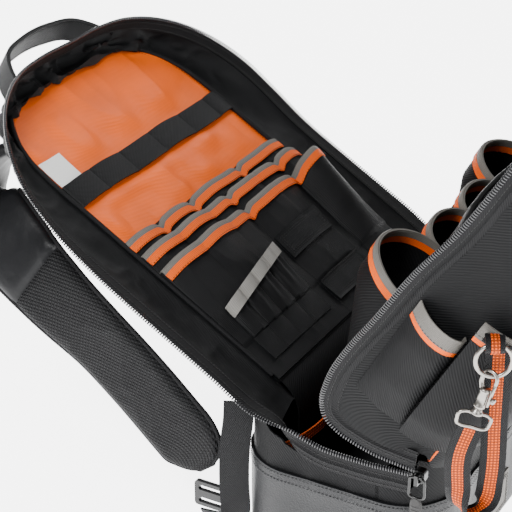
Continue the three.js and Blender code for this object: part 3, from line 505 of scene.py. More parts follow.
def repeated(name, lines, item, pitch, finish):
    """One mesh of copies of an item along lines. A line is given as its points and the ways up from them."""
    points, lifts, edges = [], [], []
    for line, ups in lines:
        start = len(points)
        points += (np.asarray(line) * MM).tolist()
        lifts += np.asarray(ups).tolist()
        edges += [(start + k, start + k + 1) for k in range(len(line) - 1)]
    mesh = bpy.data.meshes.new(name)
    mesh.from_pydata(points, edges, [])
    mesh.attributes.new("lift", "FLOAT_VECTOR", "POINT").data.foreach_set("vector", np.array(lifts).ravel())
    piece = link_object(name, mesh)
    tree = bpy.data.node_groups.get("repeat along lines") or repeat_tree()
    modifier = piece.modifiers.new("repeat", "NODES")
    modifier.node_group = tree
    given = {socket.name: socket.identifier
             for socket in tree.interface.items_tree if socket.in_out == "INPUT"}
    modifier[given["Item"]] = item
    modifier[given["Pitch"]] = pitch * MM
    modifier[given["Finish"]] = finishes[finish]
    bpy.context.view_layer.update()
    bake_modifiers(piece)
    piece.data.polygons.foreach_set("use_smooth", np.ones(len(piece.data.polygons), bool))
    piece.data.set_sharp_from_angle(angle=math.radians(50))
    bpy.data.meshes.remove(mesh)
    bpy.data.objects.remove(item)
    return piece


def lozenge(name, length, width, height, taper=0.5):
    """A small block with tapered ends and edges, along X with its top towards Z: a stitch or a tooth."""
    points, faces = [], []
    for x, size in ((-0.5, taper), (-0.3, 1), (0.3, 1), (0.5, taper)):
        for y, z in ((-0.5, -0.2), (-0.2, -0.5), (0.2, -0.5), (0.5, -0.2), (0.5, 0.2), (0.2, 0.5),
                     (-0.2, 0.5), (-0.5, 0.2)):
            points.append((x * length, y * width * size, z * height * size))
    for row in range(3):
        for k in range(8):
            a, b = row * 8 + k, row * 8 + (k + 1) % 8
            faces.append((a, b, b + 8, a + 8))
    faces += [tuple(range(8)), tuple(range(31, 23, -1))]
    if volume_sign(np.array(points), faces) < 0:
        faces = [face[::-1] for face in faces]
    return make_mesh(name, points, faces)


def stitched(name, lines, slot, finish="black_thread", pitch=3.4, width=0.55, body="root"):
    """Rows of stitches along lines."""
    item = lozenge("stitch", pitch * 0.72, width, width * 0.8)
    return dress(repeated(name, lines, item, pitch, finish), slot, body=body)


def upright(line, way):
    """A line of stitches with the same way up from all of it."""
    return line, np.broadcast_to(way, np.shape(line))


def row_on(grid, column, lift=0.2):
    """A line of stitches along one column of a grid of points, on its outer face."""
    ways = normals(grid)[:, column]
    return grid[:, column] + ways * lift, ways


# Base: the vinyl boot with its floor, and the twill band above it

ZIP_EDGE = [(-0.75, 1.0), (-0.61, 0.995), (-0.38, 0.983), (-0.14, 0.983), (0.09, 0.992), (0.25, 1.025),
            (0.4, 1.068),
            (0.53, 1.105)]
FRONT_SIDE = [(0.205, -0.004), (0.33, 0.05), (0.47, 0.106), (0.65, 0.15), (0.79, 0.165), (0.9, 0.14),
              (0.975, 0.05)]
FRONT_RIM = [(0.01, 1), (0.05, 1.025), (0.12, 1.028), (0.22, 1.0), (0.36, 0.97), (0.5, 0.9), (0.64, 0.88)]
SLIDER_Y = ZIP_EDGE[0][0] * BASE_DEPTH / 2
SLIDER_IN = FRONT_SIDE[0][0] * FRONT_DEPTH


def plan(inset, count):
    """Evenly spaced points round the base's rounded rectangle, from the near side round the front."""
    half_x, half_y, radius = BASE_WIDTH / 2 - inset, BASE_DEPTH / 2 - inset, CORNER - inset
    points = []
    for corner, (sx, sy) in enumerate([(-1, -1), (1, -1), (1, 1), (-1, 1)]):
        turn = math.pi + (corner + np.linspace(0, 1, 24)) * math.pi / 2
        points += zip(sx * (half_x - radius) + radius * np.cos(turn),
                      sy * (half_y - radius) + radius * np.sin(turn))
    points = np.array(points + points[:1])
    place = np.concatenate([[0], np.cumsum(np.linalg.norm(np.diff(points, axis=0), axis=1))])
    at = np.linspace(0, place[-1], count, endpoint=False)
    return np.stack([np.interp(at, place, points[:, 0]), np.interp(at, place, points[:, 1])], axis=1)


def foot_drop(inward):
    share = inward / FRONT_DEPTH
    first = FRONT_SIDE[0]
    under = first[1] * BAND_HEIGHT * share / first[0]
    return np.where(share < first[0], under, BAND_HEIGHT * reading(FRONT_SIDE, share))


def band_top(x, y):
    """Height of the band's top edge: it meets the front half, the zip tape, the gusset and the pad."""
    half = BASE_DEPTH / 2
    turn = half - CORNER
    inward = np.maximum((y + half) / math.cos(FRONT_LEAN), 0)
    front = on_front(0, -foot_drop(inward), inward)[..., 2] - 1.2
    side = BAND_HEIGHT * reading(ZIP_EDGE, y / half) - TAPE - GAP
    rise = RIM_SIDE_RISE * (np.abs(x) - PANEL_HALF) / (RIM_HALF - PANEL_HALF)
    up = (y - BACK_HOME[1]) / math.sin(BACK_LEAN) + rise * 0.6
    under = on_back(0, up, rise)[..., 2] - 7.1
    corner = BAND_HEIGHT * 1.068 - TAPE
    rear = np.minimum(corner + (under - corner) * ease(turn, turn + 32, y), under)
    rear = rear + 6 * ease(turn - 12, turn + 8, y) * (1 - ease(turn + 20, turn + 38, y))
    rear = np.where((np.abs(x) < PANEL_HALF + 2) & (y > 0), BACK_SEAT[2] - 0.9, rear)
    return np.where(y < SLIDER_Y, front, np.where(y <= turn + 2, side, rear))


def build_base():
    count = 300
    profile = [(0, BOOT_HEIGHT), (0, BOOT_HEIGHT - 11), (0, BOOT_HEIGHT - 13), (0, 60), (0, 40), (0, 22),
               (0, 12),
               (0.7, 6), (2.6, 2.4), (6, 0.4), (11, 0), (45, 0), (80, 0)]
    outer = []
    for k, (inset, z) in enumerate(profile):
        ring = plan(inset - (0.6 if k < 2 else 0), count)
        outer.append(np.column_stack([ring, np.full(count, float(z))]))
    outer = np.swapaxes(np.array(outer), 0, 1)
    soft = wrinkled(outer, 1.2, 45, 3, (1, 1, 0.6), ring=True)
    keep = ease(4, 16, outer[..., 2])[..., None]
    outer = outer + (soft - outer) * keep
    inner = []
    for k, (inset, z) in enumerate(profile):
        ring = plan(max(inset, 2.0) if k < 7 else inset + 2.0, count)
        inner.append(np.column_stack([ring, np.full(count, max(float(z), FLOOR))]))
    inner = np.swapaxes(np.array(inner), 0, 1)
    boot = shell("boot", outer, inner, "vinyl", ring=True, cap=True)
    dress(boot, "boot_vinyl", "base_boot")
    lines = []
    for drop in (2.2, 8.4):
        ring = plan(-1.0, count)
        line = np.column_stack([ring, np.full(count, BOOT_HEIGHT - drop)])
        out = np.column_stack([unit(ring), np.zeros(count)])
        lines.append((np.concatenate([line, line[:1]]), np.concatenate([out, out[:1]])))
    stitched("boot stitches", lines, "boot_vinyl")

    inset, low = 2.3, BOOT_HEIGHT - SEAM_OVERLAP
    walls = []
    for depth in (inset, inset + CLOTH):
        ring = plan(depth, count)
        high = band_top(ring[:, 0], ring[:, 1])
        shares = np.linspace(0, 1, 9)
        z = low + (high - low)[:, None] * shares
        xy = np.broadcast_to(ring[:, None], (count, 9, 2))
        walls.append(np.concatenate([xy, z[..., None]], axis=2))
    moved = wrinkled(walls[0], 1.6, 38, 5, (1, 1, 0.5), ring=True) - walls[0]
    keep = ease(low, BOOT_HEIGHT + 6, walls[0][..., 2])[..., None]
    dress(shell("band", walls[0] + moved * keep, walls[1] + moved * keep, "twill", ring=True), "twill",
          "base_band")

    for side, name in ((-1, "near"), (1, "far")):
        x, z = np.meshgrid(np.linspace(-20, 20, 21), np.linspace(-18, 18, 19), indexing="ij")
        swell = 0.5 * (1 - (np.maximum(np.abs(x) / 20, np.abs(z) / 18)) ** 6)
        grid = np.stack([side * 52 + x, -BASE_DEPTH / 2 - GAP - 1.8 - swell, 31 + z], axis=2)
        back = np.stack([side * 52 + x, np.full(x.shape, -BASE_DEPTH / 2 - GAP), 31 + z], axis=2)
        dress(shell(f"boot patch {name}", grid, back, "grey_tape"), "grey_tape", f"boot_patch_{name}")
        lines = []
        for half_x, half_z in ((17, 15), (15, 13)):
            turns = [(-1, -1), (1, -1), (1, 1), (-1, 1), (-1, -1)]
            line = [(side * 52 + a * half_x, -BASE_DEPTH / 2 - 2.7, 31 + b * half_z) for a, b in turns]
            lines.append(upright(line, (0, -1, 0)))
        stitched(f"patch stitches {name}", lines, "grey_tape", "grey_thread", 2.8)


# Back half


def arch(half, top, radius, foot):
    """An arch's places up the near side, round the top and down the far side, with the ways out of it."""
    places = [(-half, foot + (top - radius - foot) * k / 5, -1.0, 0.0) for k in range(5)]
    for k in range(7):
        turn = k / 6 * math.pi / 2
        out_x, out_up = -math.cos(turn), math.sin(turn)
        places.append((radius - half + radius * out_x, top - radius + radius * out_up, out_x, out_up))
    far = [(-x, up, -out_x, out_up) for x, up, out_x, out_up in reversed(places)]
    return np.array([*places, (0.0, top, 0.0, 1.0), *far])


def panel_grid(half, top, radius, foot, rows, cols):
    """Places across and up over a panel with an arched top, as a grid."""
    straight = np.linspace(foot, top - radius, rows // 2, endpoint=False)
    turn = np.linspace(0, math.pi / 2, rows - rows // 2)
    up = np.concatenate([straight, top - radius + radius * np.sin(turn)])
    width = np.concatenate([np.full(len(straight), half), half - radius + radius * np.cos(turn)])
    x = np.linspace(-1, 1, cols)[None] * width[:, None]
    return x, np.broadcast_to(up[:, None], x.shape)


def back_rim():
    """Stations of the gusset: its seam, the zip's edge, the way from one to the other, and the bulge."""
    inner = arch(PANEL_HALF + 1.2, PANEL_TOP + 1.2, PANEL_RADIUS + 1.2, PAD_FOOT)
    rim = arch(RIM_HALF, RIM_TOP, RIM_RADIUS, RIM_FOOT)
    share = ease(RIM_TOP * 0.45, RIM_TOP, rim[:, 1])
    start = on_back(inner[:, 0], inner[:, 1], -0.2)
    end = on_back(rim[:, 0], rim[:, 1], RIM_SIDE_RISE + (RIM_TOP_RISE - RIM_SIDE_RISE) * share)
    out = inner[:, 2:3] * ACROSS + inner[:, 3:4] * BACK_UP
    return start, end, unit(start - end), share[:, None] * out - BACK_OFF


def build_back():
    x, up = panel_grid(PANEL_HALF - 2.4, PANEL_TOP - 2.4, PANEL_RADIUS - 2.4, PAD_FOOT - 8, 150, 120)
    base = on_back(x, up, 0)
    loose = 0.35 + 5.5 * ease(192, 212, up) * (1 - ease(232, 246, up)) + 5.0 * ease(272, 300, up)
    loose = loose * (1 - ease(0.84, 1, np.abs(x) / PANEL_HALF)) * (1 - ease(PANEL_TOP - 26, PANEL_TOP, up))
    height = loose * (0.8 * folds(base, 58, 11, (1.0, 0.5, 0.5)) + 0.5 * lattice(base, 30, 12))
    flat = np.stack([x, up], axis=-1)
    lining = shell("lining", on_back(x, up, np.maximum(height, 0)), on_back(x, up, -LINING), "lining",
                   uv=flat)
    lining.data.materials.append(finishes["nylon"])
    heights = (np.array([face.center[:] for face in lining.data.polygons]) / MM - BACK_HOME) @ BACK_UP
    lining.data.polygons.foreach_set("material_index", (heights < 176).astype(int))
    dress(lining, "orange_lining", "back_lining")

    start, end, across, bulge = back_rim()
    edge = end + across * (TAPE - 3)
    seam = arch(PANEL_HALF - 4, PANEL_TOP - 4, PANEL_RADIUS - 4, PAD_FOOT)
    droop = ease(PANEL_TOP - 40, PANEL_TOP, seam[:, 1])
    start = start - droop[:, None] * (18 * BACK_UP - 6 * BACK_OFF)
    coarse = [on_back(seam[:, 0], seam[:, 1], -1.6), start]
    for share in (0.2, 0.4, 0.6, 0.8, 1):
        sag = 5 * math.sin(share * math.pi)
        coarse.append(start + (edge - start) * share + bulge * sag)
    coarse = np.swapaxes(np.array(coarse), 0, 1)
    feet = coarse[[0, -1]] - BACK_UP * 26 - BACK_OFF * 3
    grid = refine(np.concatenate([feet[:1], coarse, feet[1:]]), 300, 26)
    share = np.linspace(0, 1, 26)[None]
    top = ease(250, 350, (grid - BACK_HOME) @ BACK_UP)
    middle = np.sin(share * math.pi)
    soft = wrinkled(grid, 1, 30, 21, (0.8, 0.8, 0.8)) - grid
    grid = grid + soft * (middle * (4.0 + 11 * top))[..., None]
    dress(cloth(grid, 0, -CLOTH, "nylon"), "twill", "back_gusset")

    inset = 1.4
    seam = arch(PANEL_HALF - inset, PANEL_TOP - inset, PANEL_RADIUS - inset, PAD_FOOT)
    ridge = spline(on_back(seam[:, 0], seam[:, 1], 1.5), 260)
    dress(tube("lining piping", ridge, 2.3, "zip_tape"), "twill", "back_piping")
    inset = 5.0
    seam = arch(PANEL_HALF - inset, PANEL_TOP - inset, PANEL_RADIUS - inset, PAD_FOOT)
    line = spline(on_back(seam[:, 0], seam[:, 1], 0.7), 240)
    stitched("lining stitches", [upright(line, BACK_OFF)], "orange_lining", "black_thread", 3.0)
    padded_piece("back_pad", "back pad", "satin", "spacer_mesh", 9.0, 3.0)


def padded_piece(node, name, finish, slot, cell, grow):
    """A stuffed piece: the CAD shape's copy remeshed, blown up as cloth under pressure, and smoothed."""
    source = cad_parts[node]
    piece = link_object(name, source.data.copy())
    piece.matrix_world = source.matrix_world.copy()
    piece.data.transform(piece.matrix_world)
    piece.matrix_world = Matrix.Identity(4)
    piece.data.materials.clear()
    use_modifier(piece, "REMESH", mode="VOXEL", voxel_size=cell * MM, use_smooth_shade=True)
    use_modifier(piece, "SMOOTH", iterations=6, factor=0.5)
    rest = points_of(piece)
    made = piece.modifiers.new("pressure", "CLOTH")
    made.settings.use_pressure = True
    made.settings.uniform_pressure_force = 4.0
    made.settings.quality = 6
    made.settings.tension_stiffness = 40
    made.settings.compression_stiffness = 40
    made.settings.bending_stiffness = 2
    made.settings.effector_weights.gravity = 0
    made.point_cache.frame_start = 1
    made.point_cache.frame_end = 16
    for moment in range(1, 17):
        bpy.context.scene.frame_set(moment)
    bake_modifiers(piece)
    moved = points_of(piece) - rest
    moved = moved - np.maximum(moved @ BACK_OFF, 0)[:, None] * BACK_OFF
    length = np.maximum(np.linalg.norm(moved, axis=1, keepdims=True), 1e-9)
    set_points(piece, rest + moved * np.minimum(1, grow * MM / length))
    bpy.context.scene.frame_set(1)
    use_modifier(piece, "SUBSURF", levels=1, render_levels=1)
    piece.data.materials.append(finishes[finish])
    layer = piece.data.uv_layers.new(name="cloth")
    index = np.zeros(len(piece.data.loops), int)
    piece.data.loops.foreach_get("vertex_index", index)
    co = points_of(piece)[index]
    layer.data.foreach_set("uv",
                           np.stack([co[:, 0] + co[:, 1] * 0.4, co[:, 2] + co[:, 1] * 0.6], axis=1).ravel())
    piece.data.polygons.foreach_set("use_smooth", np.ones(len(piece.data.polygons), bool))
    dress(piece, slot, node)
    return piece


def use_modifier(piece, kind, **settings):
    """Adds one modifier with its settings and applies it to the piece's mesh."""
    made = piece.modifiers.new(kind.lower(), kind)
    for key, value in settings.items():
        setattr(made, key, value)
    bpy.context.view_layer.update()
    bake_modifiers(piece)


def bake_modifiers(piece):
    """Turns the piece with its modifiers into a plain mesh."""
    final = bpy.data.meshes.new_from_object(piece.evaluated_get(bpy.context.evaluated_depsgraph_get()))
    piece.modifiers.clear()
    piece.data = final


def points_of(piece):
    co = np.zeros(len(piece.data.vertices) * 3)
    piece.data.vertices.foreach_get("co", co)
    return co.reshape(-1, 3)


def set_points(piece, co):
    piece.data.vertices.foreach_set("co", np.asarray(co, np.float32).ravel())
    piece.data.update()


# Zip rows


def back_zip():
    half = BASE_DEPTH / 2
    points, ways = [], []
    for along, height in ZIP_EDGE:
        turn = ease(0.3, 0.62, along) * 0.9 * math.pi / 2
        points.append((-BASE_WIDTH / 2 + 1.4, along * half, height * BAND_HEIGHT))
        ways.append((math.sin(turn), 0, -math.cos(turn)))
    points, ways = np.array(points), np.array(ways)
    start, end, across, _ = back_rim()
    flip = np.array([-1, 1, 1])
    line = np.concatenate([points, end, points[::-1] * flip])
    return line, np.concatenate([ways, across, ways[::-1] * flip])


def front_zip():
    side = -BASE_WIDTH / 2 + 1.4
    line = [(inward * FRONT_DEPTH, -drop * BAND_HEIGHT) for inward, drop in FRONT_SIDE]
    line += [(inward * FRONT_DEPTH, up * FRONT_HEIGHT) for up, inward in FRONT_RIM]
    line = np.array(line)
    step = np.zeros_like(line)
    step[1:-1] = line[2:] - line[:-2]
    step[0], step[-1] = line[1] - line[0], line[-1] - line[-2]
    step = unit(step)
    near = on_front(side, line[:, 1], line[:, 0])
    ways = step[:, :1] * FRONT_UP - step[:, 1:] * FRONT_IN
    tip_up, tip_in = FRONT_RIM[-1][0] * FRONT_HEIGHT, FRONT_RIM[-1][1] * FRONT_DEPTH
    top = arch(-side, FRONT_HEIGHT, FRONT_RADIUS, 0)
    top = top[top[:, 1] > tip_up + 4]
    over = on_front(top[:, 0], top[:, 1], tip_in)
    flip = np.array([-1, 1, 1])
    points = np.concatenate([near, over, near[::-1] * flip])
    return points, np.concatenate([ways, np.broadcast_to(-FRONT_IN, over.shape), ways[::-1] * flip])


def ribbon(line, ways, shares):
    """A grid of points across a band: each column a distance from the line along the ways across it."""
    return line[:, None] + ways[:, None] * np.asarray(shares, float)[None, :, None]


def build_zips(look):
    for half, (points, ways) in (("back", back_zip()), ("front", front_zip())):
        both = spline(np.concatenate([points, ways], axis=1), 520)
        line, ways = both[:, :3], unit(both[:, 3:])
        shares = np.array([-2.0, 0.2, 2.5, 4.6, 6.0, 7.4, 9.0, 11.5, 14.0])
        rise = np.array([0.5, 0.7, 0.7, 0.9, 2.2, 0.9, 0.7, 0.7, 0.5])
        flat = ribbon(line, ways, shares)
        out = normals(flat)
        facing = out if half == "back" else -out
        outer = flat + facing * rise[None, :, None]
        inner = flat - facing * 0.6
        tape = shell(f"{half} zip tape", outer, inner, "zip_tape")
        dress(tape, "zip_tape", f"{half}_zip_tape")
        lines = [row_on(flat, column, 0.9) for column in (2, 7)]
        stitched(f"{half} zip stitches", lines + [(a - 2 * 0.9 * b, b) for a, b in lines], "zip_tape",
                 "grey_thread", 3.2)
        item = lozenge("tooth", 1.4, 4.4, 3.0, 0.75)
        chain = line - ways * 3.4
        teeth = repeated(f"{half} zip teeth", [(chain, out[:, 0])], item, look.tooth_pitch / MM, "teeth")
        dress(teeth, "zip_teeth", f"{half}_zip_chain")


# Back half's tiers of pockets, driver slots, webbing ladder and label

TIERS = [
    {"foot": 93, "mouth": 196, "seams": [-128, -80, -29, 55, 132], "fullness": [5, 5, 7, 6]},
    {"foot": 63, "mouth": 178, "seams": [-128, 5, 92, 138], "fullness": [7, 7, 6]},
    {"foot": 24, "mouth": 157, "seams": [-128, 5, 92, 144], "fullness": [8, 7, 22]},
]
SLOT_SEAMS = [-114, -91, -67, -41, -12]
SLOT_NEAR, SLOT_FAR, SLOT_FOOT, SLOT_RISE = -114, -12, 38, 17
PATCH_NEAR, PATCH_FAR = 5, 74
LADDER_FOOT, LADDER_TOP = 245, 270


def tier_level(tier, x, up):
    """Height of a tier's inner face off the lining."""
    behind = tier_level(tier - 1, x, up) + NYLON if tier > 0 else np.zeros(np.broadcast(x, up).shape)
    under = tier_level(tier - 1, x, up) if tier > 0 else behind
    made = TIERS[tier]
    seams = np.array(made["seams"], float)
    lobe = np.clip(np.searchsorted(seams, x, side="right") - 1, 0, len(seams) - 2)
    share = np.clip((x - seams[lobe]) / (seams[lobe + 1] - seams[lobe]), 0, 1)
    open_share = np.clip((up - made["foot"]) / (made["mouth"] - made["foot"]), 0, 1)
    full = np.array(made["fullness"], float)[lobe]
    level = behind + GAP + full * np.sin(share * math.pi) ** 0.8 * open_share**0.8
    return np.where(up < made["foot"], under, level)


def over_panel(name, x, up, level, thickness, finish):
    flat = np.stack([x, up], axis=-1)
    return shell(name, on_back(x, up, level + thickness), on_back(x, up, level), finish, uv=flat)


def mouth_binding(name, x, mouth, level, node, seams):
    """Grey tape folded over a pocket's mouth, with an orange tape under it, both wavy with the cloth."""
    rows = np.array([6.6, 8, 9.6, 11, 12.2, 12.2, 11])
    out = np.array([1.6, 1.9, 1.9, 1.7, 0.6, -0.9, -1.6])
    across = x[:, None]
    near_seam = np.min(np.abs(across - seams[None, 1:-1]), axis=1, keepdims=True)
    drop = 3.4 * np.exp(-((near_seam / 4.5) ** 2)) + 0.5 * (1 - np.cos(across / 9.0))
    up = mouth - 11 + rows[None, :] - drop
    lift = level(across, mouth - 4.0)
    grid = on_back(across, up, lift + out[None, :])
    dress(cloth(grid, 0.35, -0.35, "grey_tape"), "grey_tape", node)
    low = np.array([-0.4, 1.5, 3.5, 5.4, 6.9])
    grid = on_back(across, mouth - 11 + low[None, :] - drop, level(across, mouth - 11 + low[None, :]) + 1.9)
    dress(cloth(grid, 0.4, -0.4, "orange_tape"), "orange_webbing")
    line = on_back(x, mouth - 10.6 - drop[:, 0], lift[:, 0] + 2.5)
    stitched(f"{name} stitches", [upright(line, BACK_OFF)], "grey_tape", "grey_thread", 3.0, 0.45)


def build_tiers():
    for tier, name in enumerate(("top", "middle", "low")):
        made = TIERS[tier]
        seams = np.array(made["seams"], float)
        width = np.linspace(seams[0], seams[-1], 180)
        x, up = np.meshgrid(width, np.linspace(made["foot"], made["mouth"], 60), indexing="ij")
        x, up = x.T, up.T
        level = tier_level(tier, x, up)
        place = on_back(x, up, level)
        near_seam = np.min(np.abs(x[..., None] - seams), axis=-1)
        free = ease(0, 14, near_seam) * ease(made["foot"], made["foot"] + 20, up)
        crease = (folds(place, 40, 31 + tier, (1.3, 0.4, 0.4)) - 0.2) * free * 2.2
        dress(over_panel(f"{name} pockets", x, up, level + crease, NYLON, "nylon"), "pocket_nylon",
              f"tier_{name}")
        across = np.linspace(seams[0], seams[-1], 200)

        def face(x, up, tier=tier):
            return tier_level(tier, x, up) + NYLON

        mouth_binding(f"{name} mouth", across, made["mouth"], face, f"tier_{name}_binding", seams)
        lines = []
        for seam in seams[1:-1]:
            heights = np.linspace(made["foot"] + 2, made["mouth"] - 14, 30)
            line = on_back(seam, heights, tier_level(tier, seam, heights) + NYLON + 0.5)
            lines.append(upright(line, BACK_OFF))
        stitched(f"{name} pocket seams", lines, "pocket_nylon")

    def on_low(x, up):
        return tier_level(2, x, up) + NYLON + GAP

    seams = np.array(SLOT_SEAMS, float)

    def slots(x, up):
        lobe = np.clip(np.searchsorted(seams, x, side="right") - 1, 0, len(seams) - 2)
        share = np.clip((x - seams[lobe]) / (seams[lobe + 1] - seams[lobe]), 0, 1)
        return on_low(x, up) + 7.0 * np.sqrt(np.sin(share * math.pi)) * np.clip((up - SLOT_FOOT) / 80, 0, 1)

    def slot_mouth(x):
        return 97 + SLOT_RISE * (x - SLOT_NEAR) / (SLOT_FAR - SLOT_NEAR)

    x, share = np.meshgrid(np.linspace(SLOT_NEAR, SLOT_FAR, 120), np.linspace(0, 1, 50))
    up = SLOT_FOOT + (slot_mouth(x) - SLOT_FOOT) * share
    pleats = 0.9 * np.sin(x * 0.62) * ease(60, 100, up)
    dress(over_panel("driver slots", x, up, slots(x, up) + pleats, NYLON, "nylon"), "pocket_nylon",
          "driver_slots")
    x, drop = np.meshgrid(np.linspace(SLOT_NEAR, SLOT_FAR, 260), np.linspace(-11, 0.8, 12))
    up = slot_mouth(x) + drop
    pucker = 3.0 * np.abs(np.sin((x - SLOT_NEAR) / 22 * math.pi)) ** 0.4 + NYLON + 0.4
    dress(over_panel("slot band", x, up, slots(x, up) + pucker, 1.0, "elastic"), "grey_tape", "slot_band")
    lines = []
    for seam in seams:
        heights = np.linspace(SLOT_FOOT + 2, slot_mouth(seam) - 1, 26)
        line = on_back(seam, heights, on_low(seam, heights) + 1.6)
        lines.append(upright(line, BACK_OFF))
    stitched("slot seams", lines, "pocket_nylon", "black_thread", 3.0)

    for number, (low, high) in enumerate(((93, 118), (38, 63)), 1):
        x, up = np.meshgrid(np.linspace(PATCH_NEAR, PATCH_FAR, 60), np.linspace(low, high, 24),
                            indexing="ij")
        x, up = x.T, up.T
        edge = np.minimum(np.minimum(x - PATCH_NEAR, PATCH_FAR - x), np.minimum(up - low, high - up))
        raised = 0.7 + 0.8 * (1 - ease(0, 3, edge))
        raised = raised + 0.5 * lattice(on_back(x, up, 0), 12, 41)
        patch = over_panel(f"tool patch {number}", x, up, on_low(x, up) + raised, NYLON, "webbing")
        dress(patch, "pocket_nylon", f"tool_patch_{number}")
        lines = []
        for inset in (3.6, 5.6):
            near, far, foot, top = PATCH_NEAR + inset, PATCH_FAR - inset, low + inset, high - inset
            ring = np.array([(near, foot), (far, foot), (far, top), (near, top), (near, foot)], float)
            fine = np.concatenate([np.linspace(a, b, 12) for a, b in zip(ring[:-1], ring[1:])])
            line = on_back(fine[:, 0], fine[:, 1], on_low(fine[:, 0], fine[:, 1]) + 2.2)
            lines.append(upright(line, BACK_OFF))
        stitched(f"patch stitches {number}", lines, "pocket_nylon", "grey_thread", 3.0, 0.4)


def build_ladder():
    tacks = np.array([-124, -85, -40, 9, 59, 104, 124], float)
    x = np.linspace(-127, 127, 260)
    lobe = np.clip(np.searchsorted(tacks, x, side="right") - 1, 0, len(tacks) - 2)
    share = np.clip((x - tacks[lobe]) / (tacks[lobe + 1] - tacks[lobe]), 0, 1)
    stand = 2.0 * np.sin(share * math.pi) ** 0.6 + 0.8
    up = np.linspace(LADDER_FOOT, LADDER_TOP, 14)
    lean = 0.8 * np.sin(x / 17)
    grid = on_back(x[:, None], up[None] + lean[:, None], stand[:, None] + 0.0 * up[None] + 1.6)
    dress(cloth(grid, 0.9, -0.9, "webbing"), "black_webbing", "webbing_ladder")
    lines = []
    for tack in tacks[1:-1]:
        for shift in (-1.6, 1.6):
            heights = np.linspace(LADDER_FOOT + 1, LADDER_TOP - 1, 12)
            line = on_back(tack + shift, heights, 3.5)
            lines.append(upright(line, BACK_OFF))
    stitched("ladder tacks", lines, "black_webbing", "grey_thread", 2.4, 0.6)

    x, up = np.meshgrid(np.linspace(-126, -96, 16), np.linspace(270, 298, 16), indexing="ij")
    curl = 0.9 + 1.4 * ((up - 271) / 30) ** 2 * (0.4 + 0.6 * np.abs(x + 111) / 15)
    tag = shell("label", on_back(x, up, curl + 2.6), on_back(x, up, curl + 1.8), "tag")
    dress(tag, "tag_cloth", "care_tag")


def build_tub_strap():
    """A short orange strap inside the tub, from its near wall to the apron, in the darker orange_webbing
    finish: painted shade for the shadow in the tub.
    """
    route_in = [(-179, 56, 100), (-138, 51, 90), (-100, 46, 91), (-66, 50, 96), (-50, 66, 101)]
    line = spline(np.array(route_in, float), 60)
    grid = ribbon(line, np.broadcast_to(UPWARDS, line.shape), np.linspace(-4.5, 4.5, 6))
    dress(cloth(grid, 0.6, -0.6, "orange_webbing"), "orange_webbing")


def build_apron():
    build_tub_strap()
    start = on_back(0.0, 21.7, -0.6)
    points = [start]
    for k in range(6):
        heading = math.radians(30.6 + (96 - 30.6) * (k + 0.5) / 6)
        step = 34 * math.radians(66) / 6
        points.append(points[-1] + np.array([0, -math.cos(heading) * step, -math.sin(heading) * step]))
    points.append(np.array([0, points[-1][1] + 4, FLOOR + 1.4]))
    line = spline(points, 70)
    x = np.linspace(-125, 125, 90)
    grid = line[:, None] + x[None, :, None] * ACROSS
    sway = 1.3 * np.sin(x / 21 + 0.6)[None] * ease(0.2, 0.7, np.linspace(0, 1, 70))[:, None]
    sway = sway * (1 - ease(0.93, 1, np.linspace(0, 1, 70)))[:, None]
    grid = grid + normals(grid) * sway[..., None]
    apron = dress(cloth(grid, 0.6, -0.6, "twill"), "twill", "hinge_apron")


# Front half

PIPING_INSET, PIPING_INWARD = 11.2, 18.0


def build_front():
    half, top = BASE_WIDTH / 2 - FRONT_EDGE, FRONT_HEIGHT - FRONT_EDGE
    x, up = panel_grid(half, top, FRONT_RADIUS - FRONT_EDGE, -1, 120, 110)
    base = on_front(x, up, 0)
    free = ease(0, 0.1, (top - up) / top) * (1 - ease(0.9, 1, np.abs(x) / half)) * ease(-1, 30, up)
    crease = 2.4 * (folds(base, 70, 51) - 0.2) * free
    dress(shell("front panel", on_front(x, up, -crease), on_front(x, up, CLOTH - crease), "twill"),
          "twill", "front_panel")

    turns = np.radians([0, 20, 45, 57, 73, 90])
    insets, depths = FRONT_EDGE * (1 - np.sin(turns)), FRONT_EDGE * (1 - np.cos(turns))
    outline = arch(BASE_WIDTH / 2, FRONT_HEIGHT, FRONT_RADIUS, 0)
    rows = []
    for x, up, out_x, out_up in outline:
        rim = FRONT_DEPTH * np.interp(up / FRONT_HEIGHT, *zip(*FRONT_RIM)) - TAPE + 3
        inset = np.concatenate([insets + np.where(insets > FRONT_EDGE - 1, -1.2, 0), [0, 0]])
        inward = np.concatenate([depths, FRONT_EDGE + (rim - FRONT_EDGE) * np.array([0.5, 1])])
        rows.append(np.stack([x - out_x * inset, up - out_up * inset, inward], axis=1))
    rows = np.array(rows)

    def foot(row):
        inward = np.minimum(row[:, 2], FRONT_DEPTH * 0.84)
        lift = np.where(inward > SLIDER_IN - 1, TAPE - 4, GAP)
        return np.stack([row[:, 0], lift - foot_drop(inward), inward], axis=1)

    def low(row):
        return np.stack([row[:, 0], np.full(len(row), 12.0), row[:, 2]], axis=1)

    grid = np.array([foot(rows[0]), low(rows[0]), *rows[1:-1], low(rows[-1]), foot(rows[-1])])
    grid = refine(grid, 280, 44)
    world = on_front(grid[..., 0], grid[..., 1], grid[..., 2])
    free = ease(0, 0.12, np.linspace(0, 1, 44)) * (1 - ease(0.86, 1, np.linspace(0, 1, 44)))
    soft = (wrinkled(world, 1, 55, 53, (1, 0.7, 0.7)) - world) * (2.6 * free)[None, :, None]
    dress(cloth(world + soft, 0, -CLOTH, "twill"), "twill", "front_gusset")

    outline = arch(BASE_WIDTH / 2, FRONT_HEIGHT, FRONT_RADIUS, 6)
    x, up = (outline[:, :2] - outline[:, 2:] * PIPING_INSET).T
    piping = spline(on_front(x, up, PIPING_INWARD), 320)
    dress(tube("outer piping", piping, 1.3, "orange_tape"), "orange_webbing")


